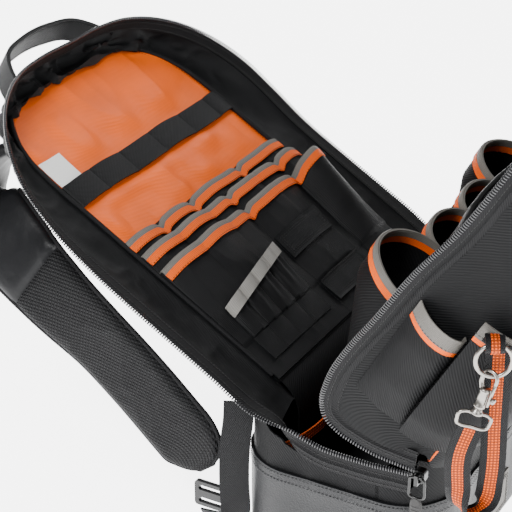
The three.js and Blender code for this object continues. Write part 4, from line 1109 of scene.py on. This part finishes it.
SHELL_INSIDE = BASE_WIDTH / 2 - CLOTH - GAP
POCKET_TOP, DIVIDER_TOP = 92.0, 165.0
INNER_LOBES = [(-150, -66, 42), (-66, 0, 22), (0, 66, 22), (66, 150, 42)]


def divider_depth(x):
    return FRONT_DEPTH * 0.77 + 30 * (1 - (x / SHELL_INSIDE) ** 4)


def inner_wall(x_share, up, lift):
    """Places of the inner pockets' wall along all lobes."""
    lobe = np.minimum((x_share * 4).astype(int), 3)
    lobes = np.array(INNER_LOBES, float)
    share = x_share * 4 - lobe
    x = lobes[lobe, 0] + (lobes[lobe, 1] - lobes[lobe, 0]) * share
    full = 0.45 + 0.55 * np.clip((up - 10) / 50, 0, 1)
    stand = lobes[lobe, 2] * np.maximum(np.sin(share * math.pi), 0) ** 0.4 * full
    return x, divider_depth(x) + LINING + GAP + lift + stand


def build_inner():
    x, up = np.meshgrid(np.linspace(-SHELL_INSIDE, SHELL_INSIDE, 150), np.linspace(10, DIVIDER_TOP, 50),
                        indexing="ij")
    sway = 2.2 * (folds(on_front(x, up, 0), 60, 61, (1, 0.5, 0.5)) - 0.2) * ease(80, 120, up)
    depth = divider_depth(x) + sway
    dress(shell("divider", on_front(x, up, depth + LINING), on_front(x, up, depth), "twill"), "twill",
          "inner_divider")
    binding_strip(on_front(x[:, 0], DIVIDER_TOP, depth[:, -1] + 0.6), FRONT_UP, FRONT_IN, "nylon", "twill")

    share, up = np.meshgrid(np.linspace(0, 0.99999, 260), np.linspace(10, POCKET_TOP, 36), indexing="ij")
    x, near = inner_wall(share, up, 0)
    dress(shell("inner pockets", on_front(x, up, near + CLOTH), on_front(x, up, near), "twill"), "twill",
          "inner_pockets")
    share = np.linspace(0, 0.99999, 320)
    rows = np.array([5.4, 7, 9, 11.2, 12.4, 12.4, 11, 6])
    out = np.array([2.4, 2.7, 2.7, 2.5, 1.6, 0.0, -0.8, -0.8])
    x, near = inner_wall(share[:, None], np.full((1, len(rows)), POCKET_TOP), 0)
    grid = on_front(x, POCKET_TOP - 11 + rows[None], near + out[None])
    dress(cloth(grid, 0.35, -0.35, "grey_tape"), "grey_tape", "inner_binding")
    low = np.array([-0.8, 1.5, 4, 5.8])
    x, near = inner_wall(share[:, None], np.full((1, 4), POCKET_TOP), 0)
    grid = on_front(x, POCKET_TOP - 11 + low[None], near + 2.7)
    dress(cloth(grid, 0.4, -0.4, "orange_tape"), "orange_webbing")
    inside = on_front(x, POCKET_TOP - 10.6 + low[None], near - 0.9)
    dress(cloth(inside, 0.3, -0.3, "orange_tape"), "orange_webbing")


def binding_strip(line, up_way, face_way, finish, slot):
    """Narrow tape folded over a free edge of cloth."""
    section = [(-9, 1.5), (-4, 1.7), (0, 1.7), (1.6, 1.0), (1.6, -1.0), (0, -1.7), (-4, -1.7), (-9, -1.5)]
    grid = np.stack([line + up_way * a + face_way * b for a, b in section], axis=1)
    return dress(cloth(grid, 0.4, -0.4, finish), slot)


SIDE_FOOT, SIDE_MOUTH = 26, 127
SIDE_SECTION = [(0.86, 0), (0.8, 6), (0.7, 12), (0.6, 13.5), (0.52, 11), (0.47, 4), (0.49, 0.5)]


def side_pocket_place(side, heights, lift):
    """Grid of the side pocket's wall: along its section, and up it."""
    section = spline(np.array([(a * FRONT_DEPTH, b) for a, b in SIDE_SECTION], float), 70)
    share = (heights - SIDE_FOOT) / (SIDE_MOUTH - SIDE_FOOT)
    full = np.interp(share, [0, 0.3, 0.7, 1], [0.15, 0.75, 1, 1])
    x = BASE_WIDTH / 2 + 1.2 + lift + section[:, 1:] * full[None]
    inward = np.broadcast_to(section[:, :1], x.shape)
    return on_front(side * x, np.broadcast_to(heights[None], x.shape), inward)


def build_side_pockets():
    for side, name in ((-1, "near"), (1, "far")):
        heights = np.linspace(SIDE_FOOT, SIDE_MOUTH, 44)
        grid = side_pocket_place(side, heights, 0)
        soft = wrinkled(grid, 1.6, 34, 71, (1, 1, 0.5)) - grid
        keep = np.sin(np.linspace(0, 1, 70) * math.pi)[:, None] * (1 - ease(92, 112, heights))[None]
        dress(cloth(grid + soft * keep[..., None], 0.6, -0.6, "twill"), "twill", f"side_pocket_{name}")
        away = 0.9
        upper = side_pocket_place(side, np.array([114.6, 118, 122, 125, 127.6]), away)
        dress(cloth(upper, 0.5, -0.5, "grey_tape"), "grey_tape")
        lower = side_pocket_place(side, np.array([110.6, 112, 113.4, 114.8]), away)
        dress(cloth(lower, 0.5, -0.5, "orange_tape"), "orange_webbing")
        line = side_pocket_place(side, np.array([115.6, 116.6]), away + 0.6)[:, 0]
        rows = [upright(line, ACROSS * side)]
        stitched(f"side pocket stitches {name}", rows, "grey_tape", "grey_thread", 3.0, 0.45)


POCKET_DEPTH = 14.0
FRONT_POCKET_FOOT, FRONT_POCKET_MOUTH = 20, 155


def front_section(stand, count=170):
    """The front pocket's line round the shell's corners: places across and inward, and the way out."""
    radius = FRONT_EDGE + stand
    flat = BASE_WIDTH / 2 - FRONT_EDGE
    turn = np.linspace(0, math.pi / 2, count // 4)
    near = np.stack([-flat - radius * np.cos(turn), FRONT_EDGE - radius * np.sin(turn), -np.cos(turn),
                     -np.sin(turn)], axis=1)
    middle_x = np.linspace(-flat, flat, count - 2 * len(near) + 2)[1:-1]
    middle = np.stack([middle_x, np.full(len(middle_x), -stand), 0 * middle_x,
                       np.full(len(middle_x), -1.0)], axis=1)
    far = near[::-1] * np.array([-1, 1, -1, 1])
    return np.concatenate([near, middle, far])


def build_front_pocket():
    ups = np.linspace(FRONT_POCKET_FOOT, FRONT_POCKET_MOUTH, 50)
    share = (ups - FRONT_POCKET_FOOT) / (FRONT_POCKET_MOUTH - FRONT_POCKET_FOOT)
    stand = np.interp(share, [0, 0.2, 0.6, 1], [1.2, 11.2, 14, 14])
    grids = []
    for up, out in zip(ups, stand):
        section = front_section(out)
        grids.append(on_front(section[:, 0], np.full(len(section), up), section[:, 1]))
    grid = np.swapaxes(np.array(grids), 0, 1)
    soft = wrinkled(grid, 1, 60, 81, (0.8, 0.8, 0.5)) - grid
    free = np.sin(np.clip(share, 0, 1) * math.pi)[None, :, None]
    dress(cloth(grid + soft * free * 3.0, 0.6, -0.6, "twill"), "twill", "front_pocket")

    section = front_section(POCKET_DEPTH + 1.9)

    def tape(rows, out, finish, slot, node=None):
        place = section[:, None, :2] + section[:, None, 2:] * np.asarray(out)[None, :, None]
        grid = on_front(place[..., 0], np.broadcast_to(rows, place.shape[:2]), place[..., 1])
        return dress(cloth(grid, 0.4, -0.4, finish), slot, *([node] if node else []))

    tape(np.array([143, 147, 150, 153, 155.4, 156.6, 156.4, 154]), [0, 0, 0, 0, -0.3, -1.4, -2.6, -3.4],
         "grey_tape",
         "grey_tape", "front_binding")
    tape(np.array([139, 140.4, 141.8, 143.2]), [0, 0, 0, 0], "orange_tape", "orange_webbing")
    line = on_front(section[:, 0] + section[:, 2] * 0.5, 146.0, section[:, 1] + section[:, 3] * 0.5)
    ways = section[:, 2:3] * ACROSS + section[:, 3:4] * FRONT_IN
    stitched("front pocket stitches", [(line, ways)], "grey_tape", "grey_thread", 3.0, 0.45)


# Handle, straps and their webbing


def route(points, crosswise, count):
    """A line through points, and the ways across a band along it."""
    line = spline(points, count, even=False)
    ways = spline(crosswise, count, even=False)
    tangent = unit(np.gradient(line, axis=0))
    ways = ways - tangent * np.sum(ways * tangent, axis=1, keepdims=True)
    return line, unit(ways)


def build_handle():
    half, top, off = 62.0, RIM_TOP + 34, 4.0
    rise = [(1.2, -0.13), (1.1, 0.24), (0.85, 0.76), (0.35, 1)]
    near = [(-across * half, RIM_TOP + (top - RIM_TOP) * up) for across, up in rise]
    rows = np.array(near + [(-x, up) for x, up in reversed(near)])
    line = spline(on_back(rows[:, 0], rows[:, 1], off), 150)
    grid = ribbon(line, np.broadcast_to(BACK_OFF, line.shape), np.linspace(-12.5, 12.5, 12))
    for side in (1, -1):
        layer = cloth(grid + normals(grid) * side * 1.05, 0.9, -0.9, "webbing")
        dress(layer, "black_webbing", *(["top_handle"] if side > 0 else []))
    for column in (1, 10):
        stitched(f"handle stitches {column}", [row_on(grid, column, 2.0)], "black_webbing", "grey_thread",
                 3.2)


STRAP = [(122, 237.8, 259.4), (121, 256, 266.3), (113, 274.5, 263.2), (94, 287, 254), (75, 292, 237),
         (56, 278, 226),
         (39, 250, 217), (30, 216, 196), (23, 178, 174), (19, 137, 150), (16, 96, 121), (14, 63, 94),
         (12, 41, 76),
         (12, 29, 61)]
STRAP_SEAM, STRAP_HALF, STRAP_THICK = 0.5, 34.4, 6.3
STRAP_ROWS, STRAP_COLUMNS = 260, 34
STRAP_WAYS = [(-1, 0, 0), (-1, 0, 0), (-1, 0, 0), (-0.6, 0.2, -0.6), (-0.25, 0.4, -0.8), (0, 0.6, -0.8),
              (0, 0.6, -0.8),
              (0, 0.6, -0.8)]
WEB = [(16.5, 0.1, 131), (14.4, -0.4, 116), (11.4, 1, 92), (9.5, 1, 56), (9.5, 0, 26), (10, 3, 9),
       (10.5, 9, 2.2),
       (11, 16, 2.2), (11, 21, 9), (11, 22.5, 19)]
WEB_WAYS = [(0.49, -0.87, 0), (0.49, -0.87, 0), (0.5, -0.8, 0), (0.9, -0.3, 0), (0.6, 0.8, 0), (0, 1, 0)]


def beside(table, side):
    """Points from distances in from the base's side, behind it and up."""
    return np.array([(side * (BASE_WIDTH / 2 - a), BASE_DEPTH / 2 + b, c) for a, b, c in table], float)


def build_straps():
    for side, name in ((-1, "near"), (1, "far")):
        turned = [(-side * a, b, c) for a, b, c in STRAP_WAYS]
        line, ways = route(beside(STRAP, side), turned, STRAP_ROWS)
        both = spline(np.concatenate([line, ways], axis=1), STRAP_ROWS)
        line, ways = both[:, :3], unit(both[:, 3:])
        end = np.linspace(0, 1, STRAP_ROWS)
        tip = np.sqrt(np.clip(1 - ((np.clip(end, 0.92, 1) - 0.92) / 0.08) ** 2, 0.06, 1))
        shares = np.array([-1, -0.94, -0.84, -0.66, -0.4, -0.13, 0.13, 0.4, 0.66, 0.84, 0.94, 1])
        full = np.array([0.12, 0.55, 0.86, 0.98, 1, 1, 1, 1, 0.98, 0.86, 0.55, 0.12])
        grid = line[:, None] + ways[:, None] * (shares[None, :, None] * STRAP_HALF * tip[:, None, None])
        grid = np.swapaxes(refine(np.swapaxes(grid, 0, 1), STRAP_COLUMNS, STRAP_ROWS), 0, 1)
        thick = np.interp(np.linspace(-1, 1, STRAP_COLUMNS), shares, full)
        out = normals(grid)
        seamed = 1 - 0.35 * np.exp(-(((end - STRAP_SEAM) / 0.008) ** 2))
        soft = 1.4 * (folds(grid, 46, 91 + side, (1, 1, 1)) - 0.25)
        plump = thick[None] * seamed[:, None] * np.maximum(tip[:, None], 0.5)
        rise = STRAP_THICK * plump + soft * thick[None]
        pad = shell(f"strap {name}", grid + out * rise[..., None], grid - out * rise[..., None], "satin")
        pad.data.materials.append(finishes["spacer_mesh"])
        last = STRAP_ROWS - 1
        rows = np.arange(last)
        face_rows, ends = np.repeat(rows, STRAP_COLUMNS - 1), np.repeat([0, last - 1], STRAP_COLUMNS - 1)
        along = np.concatenate([face_rows, face_rows, rows, rows, ends])
        pad.data.polygons.foreach_set("material_index", (along > STRAP_SEAM * last).astype(int))
        dress(pad, "spacer_mesh", f"strap_pad_{name}")
        left, right = grid[:, 0], grid[::-1, -1]
        dress(tube(f"strap binding {name}", np.concatenate([left, right]), 2.2, "zip_tape"), "twill")

        line, ways = route(beside(WEB, side), [(-side * a, b, c) for a, b, c in WEB_WAYS], 170)
        grid = ribbon(line, ways, np.linspace(-12.5, 12.5, 10))
        dress(cloth(grid, 0.9, -0.9, "webbing"), "black_webbing", f"strap_webbing_{name}")


# Small hard parts


def dressed_node(node, finish, slot, bevel=0.5, body="root"):
    """A copy of a CAD node with softened edges and its own finish."""
    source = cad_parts[node]
    piece = link_object(node.replace("_", " "), source.data.copy())
    piece.data.transform(source.matrix_world)
    piece.data.materials.clear()
    use_modifier(piece, "BEVEL", width=bevel * MM, segments=2, limit_method="ANGLE",
                 angle_limit=math.radians(35))
    piece.data.materials.append(finishes[finish])
    piece.data.polygons.foreach_set("use_smooth", np.ones(len(piece.data.polygons), bool))
    piece.data.set_sharp_from_angle(angle=math.radians(50))
    return dress(piece, slot, node, body=body)


def build_sliders():
    middle_y = on_front(0.0, 0, SLIDER_IN)[1] - 5.4
    middle_z = BAND_HEIGHT + 6
    for side, name in ((-1, "near"), (1, "far")):
        body = f"pull_{name}"
        dressed_node(f"zip_slider_{name}", "gunmetal", "nickel")
        x = side * (BASE_WIDTH / 2 + 2.6 + 3.6)
        outline = [(-5.6, 8), (5.6, 8), (6.3, 0), (5.6, -8), (3, -9.2), (-3, -9.2), (-5.6, -8), (-6.3, 0)]
        ring = np.array([(x, middle_y + a, middle_z - 7.6 + b) for a, b in outline], float)
        loop = tube(f"pull loop {name}", spline(ring, 60, ring=True), 1.15, "gunmetal", ring=True)
        dress(loop, "nickel", f"pull_loop_{name}", body=body)
        heights = np.linspace(-22, 22, 56)
        width = 5.5 * np.clip(1 - (np.abs(heights) / 22.4) ** 8, 0.1, 1) ** 0.5
        waist = 1 - 0.12 * np.exp(-((heights / 9) ** 2))
        grip = 0.35 * (np.sin(heights * 1.9) > 0.2) * (np.abs(heights) < 15)
        across = np.linspace(-1, 1, 12)
        crown = 1.6 * (1 - np.abs(across) ** 6)[None] * np.ones((56, 1)) - 0.1
        crown = crown + grip[:, None] * (np.abs(across) < 0.75)
        y = middle_y + across[None] * (width * waist)[:, None]
        z = np.broadcast_to((middle_z - 38.9 + heights)[:, None], y.shape)
        tab = shell(f"pull tab {name}", np.stack([x + crown, y, z], axis=2),
                    np.stack([x - crown, y, z], axis=2), "rubber")
        dress(tab, "pull_rubber", f"pull_tab_{name}", body=body)
        dressed_node(f"ladder_lock_{name}", "plastic", "black_plastic", 0.9)


# Lanyard at the front's near corner

FACING, SIDEWARDS = np.array([-0.872, -0.489, 0]), np.array([0.489, -0.872, 0])
LEAN = unit(np.array([6.7, -11.9, 46.9]))
RING = np.array([-BASE_WIDTH / 2 - 26, -BASE_DEPTH / 2 - 48, BAND_HEIGHT + 139])


def turned_profile(name, base, axis, profile, finish, sides=28):
    """A turned part: radius and height along its axis from a base point."""
    path = np.array([base + axis * height for _, height in profile])
    radii = np.array([radius for radius, _ in profile])
    return tube(name, path, np.maximum(radii, 0.05), finish, sides)


def build_lanyard():
    turn = np.linspace(0, 2 * math.pi, 72, endpoint=False)[:, None]
    ring = RING + 13 * (np.cos(turn) * SIDEWARDS + np.sin(turn) * UPWARDS)
    dress(tube("ring", ring, 1.7, "nickel", 12, ring=True), "nickel", "thong_ring")

    lateral = FACING + SIDEWARDS * 1.1
    lateral = unit(lateral - LEAN * (lateral @ LEAN))
    third = np.cross(lateral, LEAN)
    top = RING + UPWARDS * (-13 + 1.7 + 1.3 + 0.9)
    origin = top - LEAN * 14.8

    def at(x, y, z=0.0):
        return origin + lateral * x + LEAN * y + third * z

    bow = [(-2.4, -2), (-5.8, 4), (-5.8, 9)]
    bow += [(-5.8 * math.cos(k * math.pi / 6), 9 + 5.8 * math.sin(k * math.pi / 6)) for k in range(1, 7)]
    bow += [(5.8, 6.6)]
    line = spline(np.array([at(x, y) for x, y in bow]), 60)
    dress(tube("snap bow", line, np.linspace(1.9, 1.3, 60), "nickel", 12), "nickel", "snap_hook")
    rings = [(2.6, 1.0), (4.0, 0.2), (4.3, -0.8), (4.3, -2.0), (3.9, -2.4), (3.9, -13.0), (4.4, -13.4),
             (4.4, -14.8),
             (3.9, -15.2), (3.6, -16.0)]
    dress(turned_profile("snap barrel", origin, LEAN, rings, "nickel"), "nickel")
    bolt = turned_profile("snap bolt", at(5.8, 0), LEAN,
                          [(0.9, 6.2), (1.2, 5.8), (1.2, -11.5), (0.9, -11.8)], "nickel", 14)
    dress(bolt, "nickel", "snap_bolt", body="bolt")
    way = unit(lateral * 0.9 - LEAN * 0.1)
    knob = turned_profile("thumb knob", at(5.2, -5), way,
                          [(1.0, 0), (1.1, 2.0), (2.2, 2.6), (2.5, 3.6), (2.2, 4.6), (1.2, 5.0)],
                          "nickel", 20)
    dress(knob, "nickel", body="bolt")

    collar = [(3.0, -16.3), (3.4, -16.6), (3.4, -17.6), (4.6, -18.4), (5.2, -19.4), (5.2, -20.4),
              (4.4, -20.9)]
    dress(turned_profile("snap collar", origin, LEAN, collar, "nickel"), "nickel", "snap_eye")
    spread = unit(SIDEWARDS - LEAN * (SIDEWARDS @ LEAN))
    level = -16 - 0.3 - 4.2 - 6.5
    eye = [(-12, 4.0), (-9.5, 5.7), (0, 6.0), (9.5, 5.7), (12, 4.0), (12.2, -1), (11.2, -4.6), (9, -5.6),
           (0, -5.7), (-9, -5.6),
           (-11.2, -4.6), (-12.2, -1)]
    path = np.array([origin + spread * a + LEAN * (level + b) for a, b in eye])
    dress(tube("snap eye", spline(path, 90, ring=True), 1.35, "nickel", 12, ring=True), "nickel")

    bar = origin + LEAN * (level - 5.3)
    drop = [(9, 0, 7), (8.5, -0.5, -50), (8.5, -0.5, -107), (7.5, 1, -122), (4, 6, -132),
            (-2, 12.5, -133.5), (-6, 17.5, -126),
            (-7, 18.5, -110)]
    points = [RING + np.array(point, float) for point in drop] + [bar - LEAN * 26, bar - LEAN * 1.5]
    crosswise = [SIDEWARDS, SIDEWARDS, SIDEWARDS, (0.1, -1, 0), FACING, FACING, (-0.4, -0.9, 0),
                 (0.2, -0.98, 0), SIDEWARDS,
                 SIDEWARDS]
    line, ways = route(points, np.array(crosswise, float), 320)
    shares = np.array([-9.5, -8.6, -6.4, -4.2, -4.0, -1.4, 1.4, 4.0, 4.2, 6.4, 8.6, 9.5])
    grid = ribbon(line, ways, shares)
    cup = 0.5 * np.cos(shares / 9.5 * math.pi / 2)
    grid = grid + normals(grid) * cup[None, :, None]
    strap = cloth(grid, 0.75, -0.75, "webbing")
    strap.data.materials.append(finishes["orange_webbing"])
    columns = len(shares) - 1
    index = np.zeros(len(strap.data.polygons), int)
    quads = (320 - 1) * columns
    stripe = (np.arange(quads) % columns >= 3) & (np.arange(quads) % columns < 8)
    index[:quads][stripe] = 1
    index[quads:2 * quads][stripe] = 1
    strap.data.polygons.foreach_set("material_index", index)
    dress(strap, "orange_webbing", "thong_webbing")
    build_ring_tab()


def build_ring_tab():
    off = POCKET_DEPTH + 1.2 + 0.8 + 0.6 + 0.7
    turned = math.radians(11.25)
    reach = (FRONT_EDGE + off) * math.cos(turned) + GAP + 0.8
    flat = BASE_WIDTH / 2 - FRONT_EDGE
    points = [on_front(-flat - reach * math.cos(turned), up, FRONT_EDGE - reach * math.sin(turned))
              for up in (145.0, 153.0)]
    for back, above in ((4, 5.4), (-1.8, 3.2), (-4.4, -2.4), (0.5, -7)):
        points.append(RING - FACING * back + UPWARDS * (13 + above))
    along = unit(math.sin(turned) * ACROSS - math.cos(turned) * FRONT_IN)
    ways = [along, along, SIDEWARDS, SIDEWARDS, SIDEWARDS, SIDEWARDS]
    line, ways = route(points, np.array(ways, float), 60)
    ways = np.where((ways @ SIDEWARDS < 0)[:, None], -ways, ways)
    dress(cloth(ribbon(line, ways, np.linspace(-7, 7, 8)), 0.7, -0.7, "webbing"), "orange_webbing",
          "ring_tab")
    dress(cloth(ribbon(line, ways, np.linspace(-3, 3, 6)), 1.1, -1.1, "orange_webbing"), "orange_webbing")


# Floor, lights and camera


def build_stage(look):
    floor = make_mesh("floor", [(-9000, -9000, 0), (9000, -9000, 0), (9000, 9000, 0), (-9000, 9000, 0)],
                      [(0, 1, 2, 3)])
    pale = Pattern("floor")
    pale.finish((0.9, 0.9, 0.9), 0.7)
    pale.shader.inputs["Emission Color"].default_value = (1, 1, 1, 1)
    pale.shader.inputs["Emission Strength"].default_value = look.glow
    floor.data.materials.append(finishes["floor"])
    lamps = [("key", (-1700, 300, 2000), 700, look.key), ("fill", (-900, -1700, 1300), 1200, look.fill),
             ("rim", (1500, 700, 1500), 1000, look.fill)]
    for name, place, size, power in lamps:
        light = bpy.data.lights.new(name, "AREA")
        light.energy = power
        light.size = size * MM
        holder = bpy.data.objects.new(name, light)
        bpy.context.scene.collection.objects.link(holder)
        holder.location = Vector(place) * MM
        holder.rotation_euler = (Vector((0, 0, 0.2)) - holder.location).to_track_quat("-Z", "Y").to_euler()
    world = bpy.data.worlds.new("studio")
    world.use_nodes = True
    world.node_tree.nodes["Background"].inputs["Color"].default_value = (1, 1, 1, 1)
    world.node_tree.nodes["Background"].inputs["Strength"].default_value = look.sky
    bpy.context.scene.world = world
    lens = bpy.data.cameras.new("camera")
    lens.lens = 123.5
    lens.sensor_width = 36.0
    lens.clip_end = 50
    camera = bpy.data.objects.new("camera", lens)
    bpy.context.scene.collection.objects.link(camera)
    back = Vector((-0.778, -0.436, 0.452))
    camera.location = Vector((-1226.8, -517.5, 883.0)) * MM
    camera.rotation_euler = back.to_track_quat("Z", "Y").to_euler()
    bpy.context.scene.camera = camera


# Panel, its settings and the operators, in the order in which they run


class BackpackLook(bpy.types.PropertyGroup):
    """Colours, pitches and light of the backpack's scene."""

    black: FloatVectorProperty(name="Black cloth", description="Colour of the twill",
                               default=(0.005, 0.0052, 0.006),
                               subtype="COLOR", size=3)
    vinyl: FloatVectorProperty(name="Boot", description="Colour of the vinyl",
                               default=(0.008, 0.0085, 0.01),
                               subtype="COLOR", size=3)
    orange: FloatVectorProperty(name="Orange", description="Colour of the lining and tape",
                                default=(1.0, 0.13, 0.0),
                                subtype="COLOR", size=3)
    lining: FloatVectorProperty(name="Lining", description="Colour of the lining", default=(1.0, 0.14, 0.0),
                                subtype="COLOR", size=3)
    elastic: FloatVectorProperty(name="Elastic", description="Colour of the slots' band",
                                 default=(0.3, 0.29, 0.27),
                                 subtype="COLOR", size=3)
    grey: FloatVectorProperty(name="Grey tape", description="Colour of the bindings",
                              default=(0.17, 0.16, 0.145),
                              subtype="COLOR", size=3)
    tape: FloatVectorProperty(name="Zip tape", description="Colour of the zip's tape",
                              default=(0.008, 0.008, 0.009),
                              subtype="COLOR", size=3)
    twill_pitch: FloatProperty(name="Rib pitch", description="Distance between the twill's ribs",
                               default=0.0022,
                               unit="LENGTH")
    tooth_pitch: FloatProperty(name="Tooth pitch", description="Distance between the zip's teeth",
                               default=0.0023,
                               unit="LENGTH")
    key: FloatProperty(name="Key light", description="Power of the key light", default=64.0, unit="POWER")
    fill: FloatProperty(name="Fill light", description="Power of each fill light", default=20.0,
                        unit="POWER")
    glow: FloatProperty(name="Floor glow", description="Brightness that the floor adds of its own",
                        default=5.0)
    sky: FloatProperty(name="Surroundings", description="Brightness of the white surroundings",
                       default=0.45)


class BACKPACK_OT_finishes(bpy.types.Operator):
    """Makes every cloth, tape, plastic and metal finish."""

    bl_idname = "backpack.finishes"
    bl_label = "Backpack finishes"

    def execute(self, context):
        make_finishes(context.scene.backpack_look)
        return {"FINISHED"}


class BACKPACK_OT_base(bpy.types.Operator):
    """Builds the vinyl boot with its patches, and the twill band above it."""

    bl_idname = "backpack.base"
    bl_label = "Base"

    def execute(self, context):
        build_base()
        return {"FINISHED"}


class BACKPACK_OT_back(bpy.types.Operator):
    """Builds the lining, the padded back, the gusset and its piping."""

    bl_idname = "backpack.back"
    bl_label = "Back half"

    def execute(self, context):
        build_back()
        return {"FINISHED"}


class BACKPACK_OT_zips(bpy.types.Operator):
    """Builds both tapes and rows of teeth."""

    bl_idname = "backpack.zips"
    bl_label = "Main zip"

    def execute(self, context):
        build_zips(context.scene.backpack_look)
        return {"FINISHED"}


class BACKPACK_OT_tiers(bpy.types.Operator):
    """Builds the three tiers of tool pockets, the driver slots and the patches."""

    bl_idname = "backpack.tiers"
    bl_label = "Tool pockets"

    def execute(self, context):
        build_tiers()
        return {"FINISHED"}


class BACKPACK_OT_ladder(bpy.types.Operator):
    """Builds the webbing ladder and the label."""

    bl_idname = "backpack.ladder"
    bl_label = "Webbing ladder"

    def execute(self, context):
        build_ladder()
        return {"FINISHED"}


class BACKPACK_OT_apron(bpy.types.Operator):
    """Builds the cloth that hangs from the back half to the floor."""

    bl_idname = "backpack.apron"
    bl_label = "Hinge apron"

    def execute(self, context):
        build_apron()
        return {"FINISHED"}


class BACKPACK_OT_front(bpy.types.Operator):
    """Builds the front's panel, gusset and piping."""

    bl_idname = "backpack.front"
    bl_label = "Front half"

    def execute(self, context):
        build_front()
        return {"FINISHED"}


class BACKPACK_OT_inner(bpy.types.Operator):
    """Builds the divider and the pockets on it."""

    bl_idname = "backpack.inner"
    bl_label = "Inner pockets"

    def execute(self, context):
        build_inner()
        return {"FINISHED"}


class BACKPACK_OT_sides(bpy.types.Operator):
    """Builds the pockets outside the front half's sides."""

    bl_idname = "backpack.sides"
    bl_label = "Side pockets"

    def execute(self, context):
        build_side_pockets()
        return {"FINISHED"}


class BACKPACK_OT_pocket(bpy.types.Operator):
    """Builds the pocket round the front half's lower corners."""

    bl_idname = "backpack.pocket"
    bl_label = "Front pocket"

    def execute(self, context):
        build_front_pocket()
        return {"FINISHED"}


class BACKPACK_OT_handle(bpy.types.Operator):
    """Builds the webbing handle at the top."""

    bl_idname = "backpack.handle"
    bl_label = "Carry handle"

    def execute(self, context):
        build_handle()
        return {"FINISHED"}


class BACKPACK_OT_straps(bpy.types.Operator):
    """Builds both padded straps and their webbing."""

    bl_idname = "backpack.straps"
    bl_label = "Shoulder straps"

    def execute(self, context):
        build_straps()
        return {"FINISHED"}


class BACKPACK_OT_sliders(bpy.types.Operator):
    """Builds the zip's sliders, their pulls and the straps' locks."""

    bl_idname = "backpack.sliders"
    bl_label = "Sliders and locks"

    def execute(self, context):
        build_sliders()
        return {"FINISHED"}


class BACKPACK_OT_lanyard(bpy.types.Operator):
    """Builds the ring, its tab, the bolt snap and the thong."""

    bl_idname = "backpack.lanyard"
    bl_label = "Lanyard"

    def execute(self, context):
        build_lanyard()
        return {"FINISHED"}


class BACKPACK_OT_stage(bpy.types.Operator):
    """Adds the floor, the lights and the camera."""

    bl_idname = "backpack.stage"
    bl_label = "Stage"

    def execute(self, context):
        build_stage(context.scene.backpack_look)
        return {"FINISHED"}


OPERATORS = [BACKPACK_OT_finishes, BACKPACK_OT_base, BACKPACK_OT_back, BACKPACK_OT_zips,
             BACKPACK_OT_tiers, BACKPACK_OT_ladder, BACKPACK_OT_apron, BACKPACK_OT_front,
             BACKPACK_OT_inner, BACKPACK_OT_sides, BACKPACK_OT_pocket, BACKPACK_OT_handle,
             BACKPACK_OT_straps, BACKPACK_OT_sliders, BACKPACK_OT_lanyard, BACKPACK_OT_stage]


class BACKPACK_PT_panel(bpy.types.Panel):
    """The backpack's settings and its operators."""

    bl_label = "Tool backpack"
    bl_space_type = "VIEW_3D"
    bl_region_type = "UI"
    bl_category = "Backpack"

    def draw(self, context):
        look = context.scene.backpack_look
        for name in BackpackLook.__annotations__:
            self.layout.prop(look, name)
        for made in OPERATORS:
            self.layout.operator(made.bl_idname)


def register():
    for made in (BackpackLook, *OPERATORS, BACKPACK_PT_panel):
        bpy.utils.register_class(made)
    bpy.types.Scene.backpack_look = PointerProperty(type=BackpackLook)


def unregister():
    del bpy.types.Scene.backpack_look
    for made in reversed((BackpackLook, *OPERATORS, BACKPACK_PT_panel)):
        bpy.utils.unregister_class(made)


def main():
    """Runs every operator in order."""
    register()
    for made in OPERATORS:
        group, name = made.bl_idname.split(".")
        getattr(getattr(bpy.ops, group), name)()


if __name__ == "__main__":
    main()
